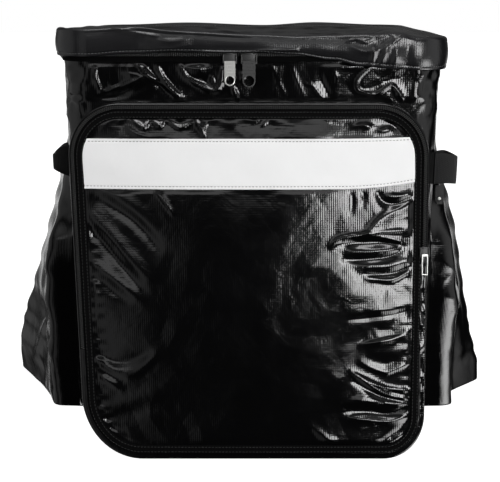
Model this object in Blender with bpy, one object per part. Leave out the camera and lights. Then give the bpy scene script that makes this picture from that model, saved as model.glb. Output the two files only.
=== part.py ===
"""Insulated delivery backpack: padded box body, capped lid, rounded front pocket and flared sides."""

import math

import bmesh
import bpy
from mathutils import Vector

# Driving sizes in metres. The front of the bag faces -Y and the floor is at z = 0.

# Padded body
BODY_WIDTH = 0.384
BODY_DEPTH = 0.328
BODY_HEIGHT = 0.404
BODY_CORNER = 0.030
BODY_WALL = 0.006
BODY_BASE = 0.008
BASE_EDGE = 0.006

# Lid with its hanging rain skirt
LID_SIDE_LIP = 0.0065
LID_FRONT_LIP = 0.006
LID_RIM = 0.012
LID_PANEL = 0.005
LID_SAG = 0.009
SKIRT_DROP = 0.024
SKIRT_CLOTH = 0.0016
RIM_ROUNDING = 0.004

# Front pocket
POCKET_WIDTH = 0.362
POCKET_BELOW_RIM = 0.054
POCKET_BOTTOM = 0.001
POCKET_CORNER = 0.053
POCKET_LOW_LEFT_CORNER = 0.062
POCKET_LOW_RIGHT_CORNER = 0.043
POCKET_TAPER = 0.056
POCKET_TOP_ACROSS = -0.0040
POCKET_BOTTOM_ACROSS = 0.0025
POCKET_TOP_REACH = 0.014
POCKET_BOTTOM_REACH = 0.093
POCKET_BULGE = 0.008
POCKET_CLOTH = 0.002
POCKET_EDGE = 0.0015
BINDING_WIDTH = 0.0078
BINDING_THICKNESS = 0.0014
POCKET_ZIPPER_WIDTH = 0.0072
POCKET_ZIPPER_TAPE = 0.0008
POCKET_COIL_WIDTH = 0.0034
POCKET_COIL_RISE = 0.0013
POCKET_ZIPPER_LEFT_END = 0.110
POCKET_SLIDER_HEIGHT = 0.206

# White reflective band
REFLECTIVE_BELOW_POCKET_TOP = 0.035
REFLECTIVE_HEIGHT = 0.050
REFLECTIVE_THICKNESS = 0.0008
REFLECTIVE_LIFT = 0.0065

# Expanding side gussets
GUSSET_BELOW_RIM = 0.029
GUSSET_BOTTOM = 0.0005
GUSSET_DEPTH = 0.266
GUSSET_LEFT_REACH = 0.096
GUSSET_RIGHT_REACH = 0.079
GUSSET_LEFT_FORWARD = 0.010
GUSSET_RIGHT_FORWARD = 0.020
GUSSET_LEFT_FULLNESS = 0.85
GUSSET_RIGHT_FULLNESS = 0.62
GUSSET_FRONT_INSET = 0.018
GUSSET_CLOTH = 0.002

# Main zipper under the skirt
MAIN_ZIPPER_WIDTH = 0.014
MAIN_ZIPPER_TAPE = 0.0010
MAIN_ZIPPER_BELOW_RIM = 0.001
MAIN_SLIDER_HEIGHT = 0.010
MAIN_SLIDER_BELOW_TAPE = 0.002
MAIN_SLIDER_FLOOR = 0.0016
SLIDER_EAR = 0.0012
PULL_THICKNESS = 0.0016
PULL_LEFT_ACROSS = -0.0220
PULL_RIGHT_ACROSS = -0.0030
PULL_LEFT_WIDTH = 0.0108
PULL_RIGHT_WIDTH = 0.0128
PULL_LEFT_LENGTH = 0.0240
PULL_RIGHT_LENGTH = 0.0255
PULL_WALL = 0.0012
PULL_SWING_GAP = 0.0007

# Loop pull on the pocket's slider
POCKET_SLIDER_LENGTH = 0.0100
POCKET_SLIDER_FLOOR = 0.0016
POCKET_PULL_WIDTH = 0.0062
POCKET_PULL_LENGTH = 0.0210
POCKET_PULL_WIRE = 0.0013

# Webbing loops at the front corners, and the tongue under the right one
LOOP_HEIGHT = 0.033
LOOP_LEFT_BELOW_RIM = 0.104
LOOP_RIGHT_BELOW_RIM = 0.113
LOOP_LEFT_REACH = 0.0145
LOOP_RIGHT_REACH = 0.0213
LOOP_DEPTH = 0.018
LOOP_FRONT = 0.006
WEBBING_THICKNESS = 0.0016
TONGUE_WIDTH = 0.0095
TONGUE_LENGTH = 0.020
RIVET_DIAMETER = 0.0034
RIVET_RISE = 0.0010

# Shoulder straps, their webbing and the top handle
STRAP_WIDTH = 0.060
STRAP_THICKNESS = 0.012
STRAP_BELOW_HANDLE = 0.006
STRAP_BOTTOM = 0.105
STRAP_STAND_OFF = 0.048
STRAP_TOP_ACROSS = 0.058
STRAP_BOTTOM_ACROSS = 0.098
LOWER_WEBBING_WIDTH = 0.025
LOWER_WEBBING_FROM_SIDE = 0.054
LOWER_WEBBING_BOTTOM = 0.020
LOWER_WEBBING_LANDING = 0.028
LOCK_WIDTH = 0.034
LOCK_LENGTH = 0.016
LOCK_THICKNESS = 0.008
HANDLE_SPAN = 0.120
HANDLE_LANDING = 0.026
HANDLE_WIDTH = 0.025
HANDLE_BELOW_SKIRT = 0.003
HANDLE_STAND_OFF = 0.024
HANDLE_THICKNESS = 0.004

# Gap between pieces that touch, and the scale of the folds
CLEARANCE = 0.0004
FOLD_BREADTH = 0.011
FOLD_RISE = 0.0045

# How finely the soft forms are divided
FRONT_STEPS = 14
SIDE_STEPS = 6
CORNER_STEPS = 3
PANEL_COLUMNS = 20
PANEL_ROW_STEP = 0.026
PANEL_CORNER_ROWS = 4
LEAST_ROW_STEP = 0.002
LEAST_PANEL_CORNER = 0.010
GUSSET_COLUMNS = 16

# Lid edge, all round. Columns: place (0 to 1 along the front from the left, 1 to 2 along the right
# side, 2 to 3 along the back, 3 to 4 along the left side), rim height as a share of LID_RIM, skirt
# hem below the body's rim as a share of SKIRT_DROP, bow outwards as a share of the side lip.
LID_EDGE = (
    (0.00, 1.45, 0.42, 0.00),
    (0.15, 1.62, 0.30, -0.10),
    (0.28, 1.32, 0.22, 0.05),
    (0.50, 1.02, 0.24, 0.12),
    (0.62, 0.88, 0.33, 0.02),
    (0.74, 0.95, 0.56, -0.08),
    (0.82, 1.05, 0.80, 0.08),
    (0.92, 1.10, 0.92, 0.05),
    (1.00, 0.70, 0.98, 0.00),
    (1.30, 0.70, 0.80, 0.10),
    (1.70, 0.62, 0.92, -0.05),
    (2.00, 0.60, 0.85, 0.00),
    (2.25, 0.85, 0.80, 0.06),
    (2.45, 0.55, 0.86, -0.04),
    (2.75, 0.82, 0.80, 0.05),
    (3.00, 0.60, 0.90, 0.00),
    (3.45, 0.95, 0.70, 0.10),
    (3.85, 1.20, 0.82, 0.00),
    (4.00, 1.45, 0.42, 0.00),
)

# Lid top. Columns: share of the way out from the middle, share of LID_SAG that it hangs down.
LID_SAG_ROWS = ((0.12, 1.0), (0.42, 0.88), (0.70, 0.50), (0.90, 0.0))

# Folds. Columns: start across and up, end across and up, all as shares of the piece's face,
# breadth as a share of FOLD_BREADTH, and rise out of the face as a share of FOLD_RISE.
PANEL_FOLDS = (
    (0.02, 0.73, 0.30, 0.46, 1.3, 0.75),
    (0.03, 0.62, 0.24, 0.38, 1.2, -0.60),
    (0.04, 0.50, 0.22, 0.30, 1.1, 0.60),
    (0.10, 0.30, 0.20, 0.14, 1.2, 0.45),
    (0.06, 0.86, 0.34, 0.955, 0.7, 0.45),
    (0.34, 0.95, 0.58, 0.935, 0.6, -0.40),
    (0.55, 0.95, 0.84, 0.93, 0.7, 0.45),
    (0.74, 0.72, 0.99, 0.70, 0.7, 0.60),
    (0.72, 0.66, 0.99, 0.635, 0.7, -0.55),
    (0.74, 0.60, 0.99, 0.585, 0.7, 0.65),
    (0.76, 0.53, 0.98, 0.51, 0.7, -0.50),
    (0.74, 0.46, 0.97, 0.42, 0.9, 0.50),
    (0.68, 0.74, 0.70, 0.42, 1.0, 0.35),
    (0.68, 0.20, 0.95, 0.09, 1.1, 0.55),
    (0.72, 0.08, 0.95, 0.20, 1.0, -0.55),
    (0.78, 0.04, 0.96, 0.10, 0.8, 0.55),
)
BODY_FOLDS = (
    (0.17, 0.05, 0.29, 0.90, 0.6, 0.60),
    (0.26, 0.90, 0.38, 0.05, 0.6, 0.45),
    (0.05, 0.70, 0.16, 0.30, 0.7, -0.40),
    (0.46, 0.20, 0.60, 0.60, 0.6, -0.30),
    (0.62, 0.80, 0.74, 0.25, 0.6, 0.40),
    (0.75, 0.80, 0.88, 0.50, 0.5, 0.65),
    (0.87, 0.50, 0.93, 0.05, 0.6, 0.50),
)
GUSSET_FOLDS_LEFT = (
    (0.10, 0.05, 0.07, 0.60, 1.2, 0.90),
    (0.20, 0.02, 0.17, 0.50, 1.0, -0.80),
    (0.32, 0.05, 0.24, 0.62, 1.2, 0.70),
    (0.60, 0.10, 0.64, 0.60, 1.6, -0.60),
    (0.08, 0.14, 0.22, 0.04, 1.0, 0.80),
)
GUSSET_FOLDS_RIGHT = (
    (0.13, 0.02, 0.09, 0.64, 1.0, 1.20),
    (0.22, 0.02, 0.19, 0.60, 1.0, -1.10),
    (0.33, 0.02, 0.27, 0.55, 1.2, 0.70),
    (0.60, 0.10, 0.64, 0.60, 1.6, -0.60),
    (0.10, 0.42, 0.22, 0.48, 0.8, 0.60),
)

# Gusset rows. Columns: share of the height, reach of the ridge as a share of the gusset's reach,
# ridge place along the depth (0 front, 1 back) on the left and on the right, and share of
# GUSSET_FRONT_INSET by which the front seam is set back behind the webbing loop.
GUSSET_ROWS = (
    (0.000, 0.980, 0.50, 0.26, 0.0),
    (0.060, 1.000, 0.48, 0.26, 0.0),
    (0.140, 0.930, 0.43, 0.26, 0.0),
    (0.225, 0.830, 0.39, 0.26, 0.0),
    (0.320, 0.710, 0.34, 0.26, 0.0),
    (0.415, 0.590, 0.30, 0.25, 0.0),
    (0.510, 0.470, 0.28, 0.25, 0.0),
    (0.600, 0.355, 0.27, 0.25, 0.5),
    (0.670, 0.275, 0.27, 0.26, 1.0),
    (0.740, 0.205, 0.28, 0.28, 1.0),
    (0.820, 0.145, 0.30, 0.30, 1.0),
    (0.910, 0.095, 0.32, 0.32, 0.9),
    (1.000, 0.000, 0.34, 0.34, 0.8),
)

# Shoulder strap, from its seam at the top. Columns: share of the height between STRAP_BOTTOM and
# STRAP_TOP, share of STRAP_STAND_OFF that it stands away from the back.
STRAP_ROWS = (
    (1.00, 0.00),
    (0.95, 0.00),
    (0.90, 0.02),
    (0.83, 0.30),
    (0.72, 0.66),
    (0.58, 0.92),
    (0.44, 1.00),
    (0.30, 0.92),
    (0.16, 0.70),
    (0.07, 0.52),
    (0.00, 0.40),
)

# Sizes that follow from the driving sizes
HALF_WIDTH = BODY_WIDTH / 2
FRONT = -BODY_DEPTH / 2
BACK = BODY_DEPTH / 2
ZIPPER_TOP = BODY_HEIGHT - MAIN_ZIPPER_BELOW_RIM
ZIPPER_BOTTOM = ZIPPER_TOP - MAIN_ZIPPER_WIDTH
POCKET_TOP = BODY_HEIGHT - POCKET_BELOW_RIM
POCKET_BORDER = FRONT - CLEARANCE
POCKET_MARGIN = BINDING_WIDTH + POCKET_ZIPPER_WIDTH
POCKET_HEIGHT = POCKET_TOP - POCKET_BOTTOM
PANEL_HALF = POCKET_WIDTH / 2 - POCKET_MARGIN
PANEL_LOW = POCKET_BOTTOM + POCKET_MARGIN
PANEL_HIGH = POCKET_TOP - POCKET_MARGIN
REFLECTIVE_TOP = POCKET_TOP - REFLECTIVE_BELOW_POCKET_TOP
REFLECTIVE_BOTTOM = REFLECTIVE_TOP - REFLECTIVE_HEIGHT
GUSSET_HEIGHT = BODY_HEIGHT - GUSSET_BELOW_RIM
LOOP_LEFT_TOP = BODY_HEIGHT - LOOP_LEFT_BELOW_RIM
LOOP_RIGHT_TOP = BODY_HEIGHT - LOOP_RIGHT_BELOW_RIM
LOWER_WEBBING_ACROSS = HALF_WIDTH - LOWER_WEBBING_FROM_SIDE
HANDLE_TOP = BODY_HEIGHT - SKIRT_DROP - HANDLE_BELOW_SKIRT
STRAP_TOP = HANDLE_TOP - HANDLE_WIDTH - STRAP_BELOW_HANDLE


def clear_scene():
    """Remove every object, mesh and curve."""
    for thing in list(bpy.data.objects):
        bpy.data.objects.remove(thing, do_unlink=True)
    for mesh in list(bpy.data.meshes):
        bpy.data.meshes.remove(mesh)
    for curve in list(bpy.data.curves):
        bpy.data.curves.remove(curve)


def material(name, colour, roughness, metallic=0.0):
    """A Principled material with one colour."""
    made = bpy.data.materials.new(name)
    made.use_nodes = True
    shader = made.node_tree.nodes["Principled BSDF"]
    shader.inputs["Base Color"].default_value = (*colour, 1.0)
    shader.inputs["Roughness"].default_value = roughness
    shader.inputs["Metallic"].default_value = metallic
    return made


def glossy_cloth():
    return material("glossy_tarpaulin", (0.012, 0.012, 0.013), 0.22)


def matte_binding():
    return material("matte_binding", (0.010, 0.010, 0.011), 0.70)


def zipper_nylon():
    return material("zipper_nylon", (0.014, 0.014, 0.015), 0.45)


def webbing_nylon():
    return material("webbing_nylon", (0.013, 0.013, 0.014), 0.60)


def padded_mesh():
    return material("padded_mesh", (0.016, 0.016, 0.017), 0.80)


def reflective_white():
    return material("reflective_white", (0.86, 0.87, 0.87), 0.40)


def black_plastic():
    return material("black_plastic", (0.015, 0.015, 0.015), 0.40)


def bright_metal():
    return material("bright_metal", (0.62, 0.62, 0.60), 0.32, 1.0)


def dark_metal():
    return material("dark_metal", (0.05, 0.05, 0.05), 0.35, 1.0)


def add_object(name, points, faces, look, smooth=True):
    """Make one closed object from points and faces, shaded smooth with sharp edges kept."""
    mesh = bpy.data.meshes.new(name)
    mesh.from_pydata([tuple(point) for point in points], [], faces)
    mesh.validate()
    mesh.update()
    if smooth:
        mesh.shade_smooth()
        mesh.set_sharp_from_angle(angle=math.radians(38))
    mesh.materials.append(look)
    made = bpy.data.objects.new(name, mesh)
    bpy.context.scene.collection.objects.link(made)
    return made


def table_value(rows, place, column):
    """Read one column of a table between its rows, smoothly, at a place in its first column."""
    if place <= rows[0][0]:
        return rows[0][column]
    for low, high in zip(rows, rows[1:]):
        if place <= high[0]:
            share = (place - low[0]) / (high[0] - low[0])
            eased = share * share * (3 - 2 * share)
            return low[column] + (high[column] - low[column]) * eased
    return rows[-1][column]


def fold_relief(across, up, width, height, folds):
    """Height of the folds at a point of a face, with across and up in metres from its corner."""
    total = 0.0
    for start_across, start_up, end_across, end_up, breadth, rise in folds:
        start = Vector((start_across * width, start_up * height))
        end = Vector((end_across * width, end_up * height))
        run = end - start
        away = Vector((across, up)) - start
        along = max(0.0, min(1.0, away.dot(run) / run.length_squared))
        distance = (away - run * along).length
        spread = breadth * FOLD_BREADTH
        fade = 0.55 + 0.45 * math.sin(math.pi * along)
        total += rise * FOLD_RISE * fade * math.exp(-((distance / spread) ** 2))
    return total


def bag_ring(half_width, front, back, corner):
    """Points of a level rounded rectangle, anticlockwise from above, each with its lid place."""
    corner = min(corner, half_width * 0.95, (back - front) * 0.475)
    sides = (
        ((-half_width + corner, front), (half_width - corner, front), FRONT_STEPS),
        ((half_width, front + corner), (half_width, back - corner), SIDE_STEPS),
        ((half_width - corner, back), (-half_width + corner, back), FRONT_STEPS),
        ((-half_width, back - corner), (-half_width, front + corner), SIDE_STEPS),
    )
    centres = (
        (half_width - corner, front + corner),
        (half_width - corner, back - corner),
        (-half_width + corner, back - corner),
        (-half_width + corner, front + corner),
    )
    points = []
    for side, (start, end, steps) in enumerate(sides):
        for step in range(steps + 1):
            share = step / steps
            x = start[0] + (end[0] - start[0]) * share
            y = start[1] + (end[1] - start[1]) * share
            points.append((x, y, side + 0.02 + 0.96 * share))
        for step in range(1, CORNER_STEPS + 1):
            angle = math.radians(-90 + side * 90 + 90 * step / (CORNER_STEPS + 1))
            x = centres[side][0] + corner * math.cos(angle)
            y = centres[side][1] + corner * math.sin(angle)
            points.append((x, y, (side + 1) % 4))
    return points


def loft(name, loops, look):
    """Join rings of equal count into one closed solid with a flat cap at each end."""
    count = len(loops[0])
    points = [point for ring in loops for point in ring]
    faces = [tuple(reversed(range(count)))]
    for level in range(len(loops) - 1):
        base = level * count
        for step in range(count):
            after = (step + 1) % count
            faces.append((base + step, base + after, base + count + after, base + count + step))
    last = (len(loops) - 1) * count
    faces.append(tuple(range(last, last + count)))
    return add_object(name, points, faces, look)


def body_front_relief(x, z):
    """Creases of the cloth between the pocket and the main zipper."""
    low = POCKET_TOP + 0.003
    high = ZIPPER_BOTTOM - 0.002
    if z <= low or z >= high:
        return 0.0
    share = (z - low) / (high - low)
    window = min(1.0, 4 * share * (1 - share) * 1.6)
    relief = fold_relief(x + HALF_WIDTH, z - low, BODY_WIDTH, high - low, BODY_FOLDS)
    edge = min(1.0, (HALF_WIDTH - BODY_CORNER - abs(x)) / 0.02 + 0.2)
    return max(0.0, relief) * window * max(0.0, edge)


def build_body():
    """Padded box, open at the top, with a flat base."""
    strip_low = POCKET_TOP + 0.003
    strip_high = ZIPPER_BOTTOM - 0.002
    strip_rows = 5
    heights = [BASE_EDGE, strip_low * 0.5]
    heights += [strip_low + (strip_high - strip_low) * row / strip_rows for row in range(strip_rows + 1)]
    heights.append(BODY_HEIGHT)
    inset = HALF_WIDTH - BASE_EDGE
    outer_base = bag_ring(inset, FRONT + BASE_EDGE, BACK - BASE_EDGE, BODY_CORNER - BASE_EDGE)
    outer = bag_ring(HALF_WIDTH, FRONT, BACK, BODY_CORNER)
    inner_half = HALF_WIDTH - BODY_WALL
    inner = bag_ring(inner_half, FRONT + BODY_WALL, BACK - BODY_WALL, BODY_CORNER - BODY_WALL)
    loops = [[(x, y, 0.0) for x, y, _ in outer_base]]
    for height in heights:
        ring = []
        for x, y, place in outer:
            on_front = 0.0 < place < 1.0
            push = body_front_relief(x, height) if on_front else 0.0
            ring.append((x, y - push, height))
        loops.append(ring)
    for height in (BODY_HEIGHT, POCKET_TOP * 0.5, BODY_BASE):
        loops.append([(x, y, height) for x, y, _ in inner])
    return loft("body_shell", loops, glossy_cloth())


def sag_at(share):
    return LID_SAG * table_value(LID_SAG_ROWS, share, 1)


def lid_ring(inset, height_of, bow=0.0):
    """A ring of the lid, set in from its outer edge, with its height read from the lid place."""
    half = HALF_WIDTH + LID_SIDE_LIP - inset
    front = FRONT - LID_FRONT_LIP + inset
    back = BACK + LID_FRONT_LIP - inset
    corner = max(BODY_CORNER + LID_FRONT_LIP - inset, 0.004)
    ring = []
    for x, y, place in bag_ring(half, front, back, corner):
        push = bow * LID_SIDE_LIP * table_value(LID_EDGE, place, 3)
        side = int(place) % 4
        along_y = {0: -push, 2: push}.get(side, 0.0)
        along_x = {1: push, 3: -push}.get(side, 0.0)
        ring.append((x + along_x, y + along_y, height_of(place)))
    return ring


def lid_share_ring(share, height):
    """A level ring of the lid's panel, at a share of the way out from its middle."""
    half = (HALF_WIDTH + LID_SIDE_LIP - SKIRT_CLOTH) * share
    front = (FRONT - LID_FRONT_LIP + SKIRT_CLOTH) * share
    back = (BACK + LID_FRONT_LIP - SKIRT_CLOTH) * share
    return [(x, y, height) for x, y, _ in bag_ring(half, front, back, BODY_CORNER * share)]


def build_lid():
    """Cap with a sagging padded top and a skirt that hangs over the main zipper."""
    underside = BODY_HEIGHT + CLEARANCE

    def hem(place):
        return BODY_HEIGHT - SKIRT_DROP * table_value(LID_EDGE, place, 2)

    def rim(place):
        return BODY_HEIGHT + LID_RIM * table_value(LID_EDGE, place, 1)

    def middle(place):
        return (hem(place) + rim(place)) / 2

    def shoulder(place):
        return rim(place) - RIM_ROUNDING

    def inside_rim(place):
        return max(rim(place) - RIM_ROUNDING * 1.2, underside + LID_PANEL)

    shares = [row[0] for row in LID_SAG_ROWS]
    loops = [lid_share_ring(share, underside - sag_at(share)) for share in shares]
    loops.append(lid_ring(SKIRT_CLOTH, lambda place: underside))
    loops.append(lid_ring(SKIRT_CLOTH, hem, bow=0.5))
    loops.append(lid_ring(0.0, hem, bow=0.5))
    loops.append(lid_ring(0.0, middle, bow=1.0))
    loops.append(lid_ring(0.0, shoulder, bow=0.6))
    loops.append(lid_ring(RIM_ROUNDING * 0.5, rim))
    loops.append(lid_ring(RIM_ROUNDING * 1.6, rim))
    loops.append(lid_ring(RIM_ROUNDING * 2.6, inside_rim))
    for share in reversed(shares):
        loops.append(lid_share_ring(share * 0.985, underside + LID_PANEL - sag_at(share)))
    return loft("lid", loops, glossy_cloth())


def build_main_zipper():
    """Zipper tape round the front and sides of the body, under the skirt."""
    outer = bag_ring(HALF_WIDTH, FRONT, BACK, BODY_CORNER)
    count = len(outer)
    back_start = FRONT_STEPS + 2 + SIDE_STEPS + 2 * CORNER_STEPS
    back_end = back_start + FRONT_STEPS
    chosen = list(range(back_end + 1 + CORNER_STEPS, count)) + list(range(0, back_start - CORNER_STEPS))
    sections = []
    for index in chosen:
        x, y, _ = outer[index]
        before = Vector(outer[index - 1][:2])
        after = Vector(outer[(index + 1) % count][:2])
        run = (after - before).normalized()
        out = Vector((run.y, -run.x))
        near = CLEARANCE
        far = CLEARANCE + MAIN_ZIPPER_TAPE
        sections.append((
            (x + out.x * near, y + out.y * near, ZIPPER_BOTTOM),
            (x + out.x * far, y + out.y * far, ZIPPER_BOTTOM),
            (x + out.x * far, y + out.y * far, ZIPPER_TOP),
            (x + out.x * near, y + out.y * near, ZIPPER_TOP),
        ))
    return sweep("main_zipper", sections, zipper_nylon())


def sweep(name, sections, look, closed=False, smooth=True):
    """Join sections of equal count, in order along a strip, into one closed solid."""
    count = len(sections[0])
    points = [point for section in sections for point in section]
    total = len(sections)
    faces = []
    for index in range(total if closed else total - 1):
        base = index * count
        ahead = ((index + 1) % total) * count
        for step in range(count):
            after = (step + 1) % count
            faces.append((base + step, base + after, ahead + after, ahead + step))
    if not closed:
        faces.append(tuple(reversed(range(count))))
        faces.append(tuple(range((total - 1) * count, total * count)))
    made = add_object(name, points, faces, look, smooth)
    face_outwards(made)
    return made


def face_outwards(made):
    """Point every face of one closed mesh outwards."""
    work = bmesh.new()
    work.from_mesh(made.data)
    bmesh.ops.recalc_face_normals(work, faces=work.faces)
    if work.calc_volume(signed=True) < 0:
        bmesh.ops.reverse_faces(work, faces=work.faces)
    work.to_mesh(made.data)
    work.free()


def panel_corner(side, low):
    """Radius of one corner of the panel: side is -1 or 1, low is true at the bottom."""
    radius = POCKET_CORNER
    if low:
        radius = POCKET_LOW_LEFT_CORNER if side < 0 else POCKET_LOW_RIGHT_CORNER
    radius = max(radius - POCKET_MARGIN, LEAST_PANEL_CORNER)
    return min(radius, (PANEL_HIGH - PANEL_LOW) / 2, PANEL_HALF)


def past_corner(side, height):
    """How far a height reaches into a rounded corner, as a share of it, and the corner's radius."""
    low = panel_corner(side, True)
    high = panel_corner(side, False)
    if height < PANEL_LOW + low:
        return -min(1.0, (PANEL_LOW + low - height) / low), low
    if height > PANEL_HIGH - high:
        return min(1.0, (height - PANEL_HIGH + high) / high), high
    return 0.0, 0.0


def panel_half_at(side, height):
    """Half width of the panel at a height on one side, with its rounded corners."""
    share, corner = past_corner(side, height)
    return PANEL_HALF - corner + corner * math.sqrt(max(1 - share * share, 0.0))


def panel_heights():
    """Heights of the panel's rows: its rounded corners, its straight sides and the band's edges."""
    low_corner = max(panel_corner(-1, True), panel_corner(1, True))
    high_corner = panel_corner(1, False)
    rows = []
    for step in range(PANEL_CORNER_ROWS + 1):
        angle = math.pi / 2 * step / PANEL_CORNER_ROWS
        rows.append(PANEL_LOW + low_corner * (1 - math.cos(angle)))
        rows.append(PANEL_HIGH - high_corner * (1 - math.cos(angle)))
    low = PANEL_LOW + low_corner
    high = PANEL_HIGH - high_corner
    steps = max(2, round((high - low) / PANEL_ROW_STEP))
    rows += [low + (high - low) * step / steps for step in range(1, steps)]
    band = [REFLECTIVE_BOTTOM, (REFLECTIVE_BOTTOM + REFLECTIVE_TOP) / 2, REFLECTIVE_TOP]
    edges = [PANEL_LOW, PANEL_HIGH]
    kept = [row for row in rows if all(abs(row - fixed) > LEAST_ROW_STEP for fixed in band + edges)]
    tidy = []
    for row in sorted(kept):
        if not tidy or row - tidy[-1] > LEAST_ROW_STEP:
            tidy.append(row)
    return sorted(tidy + band + edges)


def lifted(height, share):
    """Raise the right end of the rows near the reflective band, as the cloth is drawn up there."""
    right = max(0.0, (share - 0.55) / 0.45)
    near = math.exp(-(((height - REFLECTIVE_BOTTOM) / (REFLECTIVE_HEIGHT * 0.8)) ** 2))
    return height + REFLECTIVE_LIFT * right * right * near


def pocket_place(across, height):
    """Apply the pocket's taper and lean: it narrows and drifts a little towards the floor."""
    share = (height - POCKET_BOTTOM) / POCKET_HEIGHT
    middle = POCKET_BOTTOM_ACROSS + (POCKET_TOP_ACROSS - POCKET_BOTTOM_ACROSS) * share
    return middle + across * (1 - POCKET_TAPER * (1 - share))


def panel_surface(across, height):
    """Depth of the panel's outer face in Y, with its bulge and folds."""
    up = (height - POCKET_BOTTOM) / POCKET_HEIGHT
    side = across / (POCKET_WIDTH / 2)
    reach = POCKET_TOP_REACH + (POCKET_BOTTOM_REACH - POCKET_TOP_REACH) * (1 - up)
    inside = max(0.0, 1 - side * side)
    bulge = POCKET_BULGE * inside * math.sin(math.pi * min(1.0, max(0.0, up))) ** 0.8
    return FRONT - reach - bulge


def panel_depth(across, height, margin):
    """Depth of the panel with its folds, which die out at the binding."""
    folds = fold_relief(
        across + POCKET_WIDTH / 2, height - POCKET_BOTTOM, POCKET_WIDTH, POCKET_HEIGHT, PANEL_FOLDS
    )
    return panel_surface(across, height) - folds * margin


def panel_grid():
    """Rows of panel points. Each holds across, height, and the outward direction at the border."""
    heights = panel_heights()
    rows = []
    for row, base in enumerate(heights):
        line = []
        for column in range(PANEL_COLUMNS + 1):
            share = -1 + 2 * column / PANEL_COLUMNS
            inner_row = 0 < row < len(heights) - 1
            height = lifted(base, share) if inner_row else base
            side = 1 if share > 0 else -1
            across = share * panel_half_at(side, height)
            sine, _ = past_corner(side, height)
            out = (side * math.sqrt(max(0.0, 1 - sine * sine)), sine)
            if not inner_row:
                out = (0.0, -1.0 if row == 0 else 1.0)
            line.append((across, height, out))
        rows.append(line)
    return rows


def border_cells(rows):
    """Row and column of each border point, anticlockwise seen from the front."""
    last_row = len(rows) - 1
    cells = [(0, column) for column in range(PANEL_COLUMNS + 1)]
    cells += [(row, PANEL_COLUMNS) for row in range(1, last_row)]
    cells += [(last_row, column) for column in range(PANEL_COLUMNS, -1, -1)]
    cells += [(row, 0) for row in range(last_row - 1, 0, -1)]
    return cells


def border_point(rows, cell, offset, lift=0.0):
    """A point outside the panel's border, by an offset in its plane and a lift off its face."""
    across, height, out = rows[cell[0]][cell[1]]
    x = across + out[0] * offset
    z = height + out[1] * offset
    return (pocket_place(x, z), panel_surface(x, z) - lift, z)


def inner_margin(rows, row, column):
    """How far a panel point is from the border, from 0 at the border to 1 inside."""
    last_row = len(rows) - 1
    steps = min(row, last_row - row, column, PANEL_COLUMNS - column)
    return min(1.0, steps / 2)


def panel_point(rows, row, column, back=0.0):
    across, height, _ = rows[row][column]
    depth = panel_depth(across, height, inner_margin(rows, row, column))
    return (pocket_place(across, height), depth + back, height)


def split_quad(a, b, c, d):
    """Two triangles that share the first corner, so that sheets laid on each other match."""
    return (a, b, c), (a, c, d)


def build_pocket():
    """Pocket of one cloth wall: panel, rounded edge and sides, open towards the body."""
    rows = panel_grid()
    cells = border_cells(rows)
    columns = PANEL_COLUMNS + 1
    half_edge = POCKET_MARGIN
    wall = POCKET_CLOTH
    points = []
    for back in (0.0, wall):
        for row in range(len(rows)):
            for column in range(columns):
                points.append(panel_point(rows, row, column, back))
    sheet = len(rows) * columns

    def side_ring(offset, share, recess):
        ring = []
        for cell in cells:
            x, y, z = border_point(rows, cell, offset)
            start = y + recess
            ring.append((x, start + (POCKET_BORDER - start) * share, z))
        return ring

    outer_loops = [
        side_ring(BINDING_WIDTH, 0.0, 0.0),
        side_ring(half_edge - POCKET_EDGE, 0.0, 0.0),
        side_ring(half_edge, 0.0, POCKET_EDGE),
        side_ring(half_edge, 0.5, POCKET_EDGE),
        side_ring(half_edge, 1.0, POCKET_EDGE),
    ]
    inner_loops = [
        side_ring(half_edge - wall, 1.0, wall + POCKET_EDGE),
        side_ring(half_edge - wall, 0.5, wall + POCKET_EDGE),
        side_ring(half_edge - wall, 0.0, wall + POCKET_EDGE),
    ]
    border = [row * columns + column for row, column in cells]
    chain = [border]
    for ring in outer_loops + inner_loops:
        start = len(points)
        points += ring
        chain.append(list(range(start, start + len(ring))))
    chain.append([sheet + index for index in border])
    faces = []
    for row in range(len(rows) - 1):
        for column in range(PANEL_COLUMNS):
            a = row * columns + column
            for corner in split_quad(a, a + 1, a + columns + 1, a + columns):
                faces.append(corner)
                faces.append(tuple(sheet + index for index in reversed(corner)))
    for near, far in zip(chain, chain[1:]):
        for step in range(len(near)):
            after = (step + 1) % len(near)
            faces.append((near[after], near[step], far[step], far[after]))
    return add_object("front_pocket", points, faces, glossy_cloth())


def build_binding():
    """Flat binding tape all round the panel."""
    rows = panel_grid()
    near = CLEARANCE
    far = CLEARANCE + BINDING_THICKNESS
    inner = CLEARANCE
    outer = BINDING_WIDTH - CLEARANCE / 2
    sections = []
    for cell in border_cells(rows):
        sections.append((
            border_point(rows, cell, inner, near),
            border_point(rows, cell, outer, near),
            border_point(rows, cell, outer, far),
            border_point(rows, cell, inner, far),
        ))
    return sweep("pocket_binding", sections, matte_binding(), closed=True)


def zipper_cells(rows):
    """Border points that the zipper follows: up the left, over the top and down to the slider."""
    last_row = len(rows) - 1
    left = [(row, 0) for row in range(1, last_row) if rows[row][0][1] >= POCKET_ZIPPER_LEFT_END]
    top = [(last_row, column) for column in range(PANEL_COLUMNS + 1)]
    right = [
        (row, PANEL_COLUMNS)
        for row in range(last_row - 1, 0, -1)
        if rows[row][PANEL_COLUMNS][1] >= POCKET_SLIDER_HEIGHT - POCKET_SLIDER_LENGTH
    ]
    return left + top + right


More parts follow.
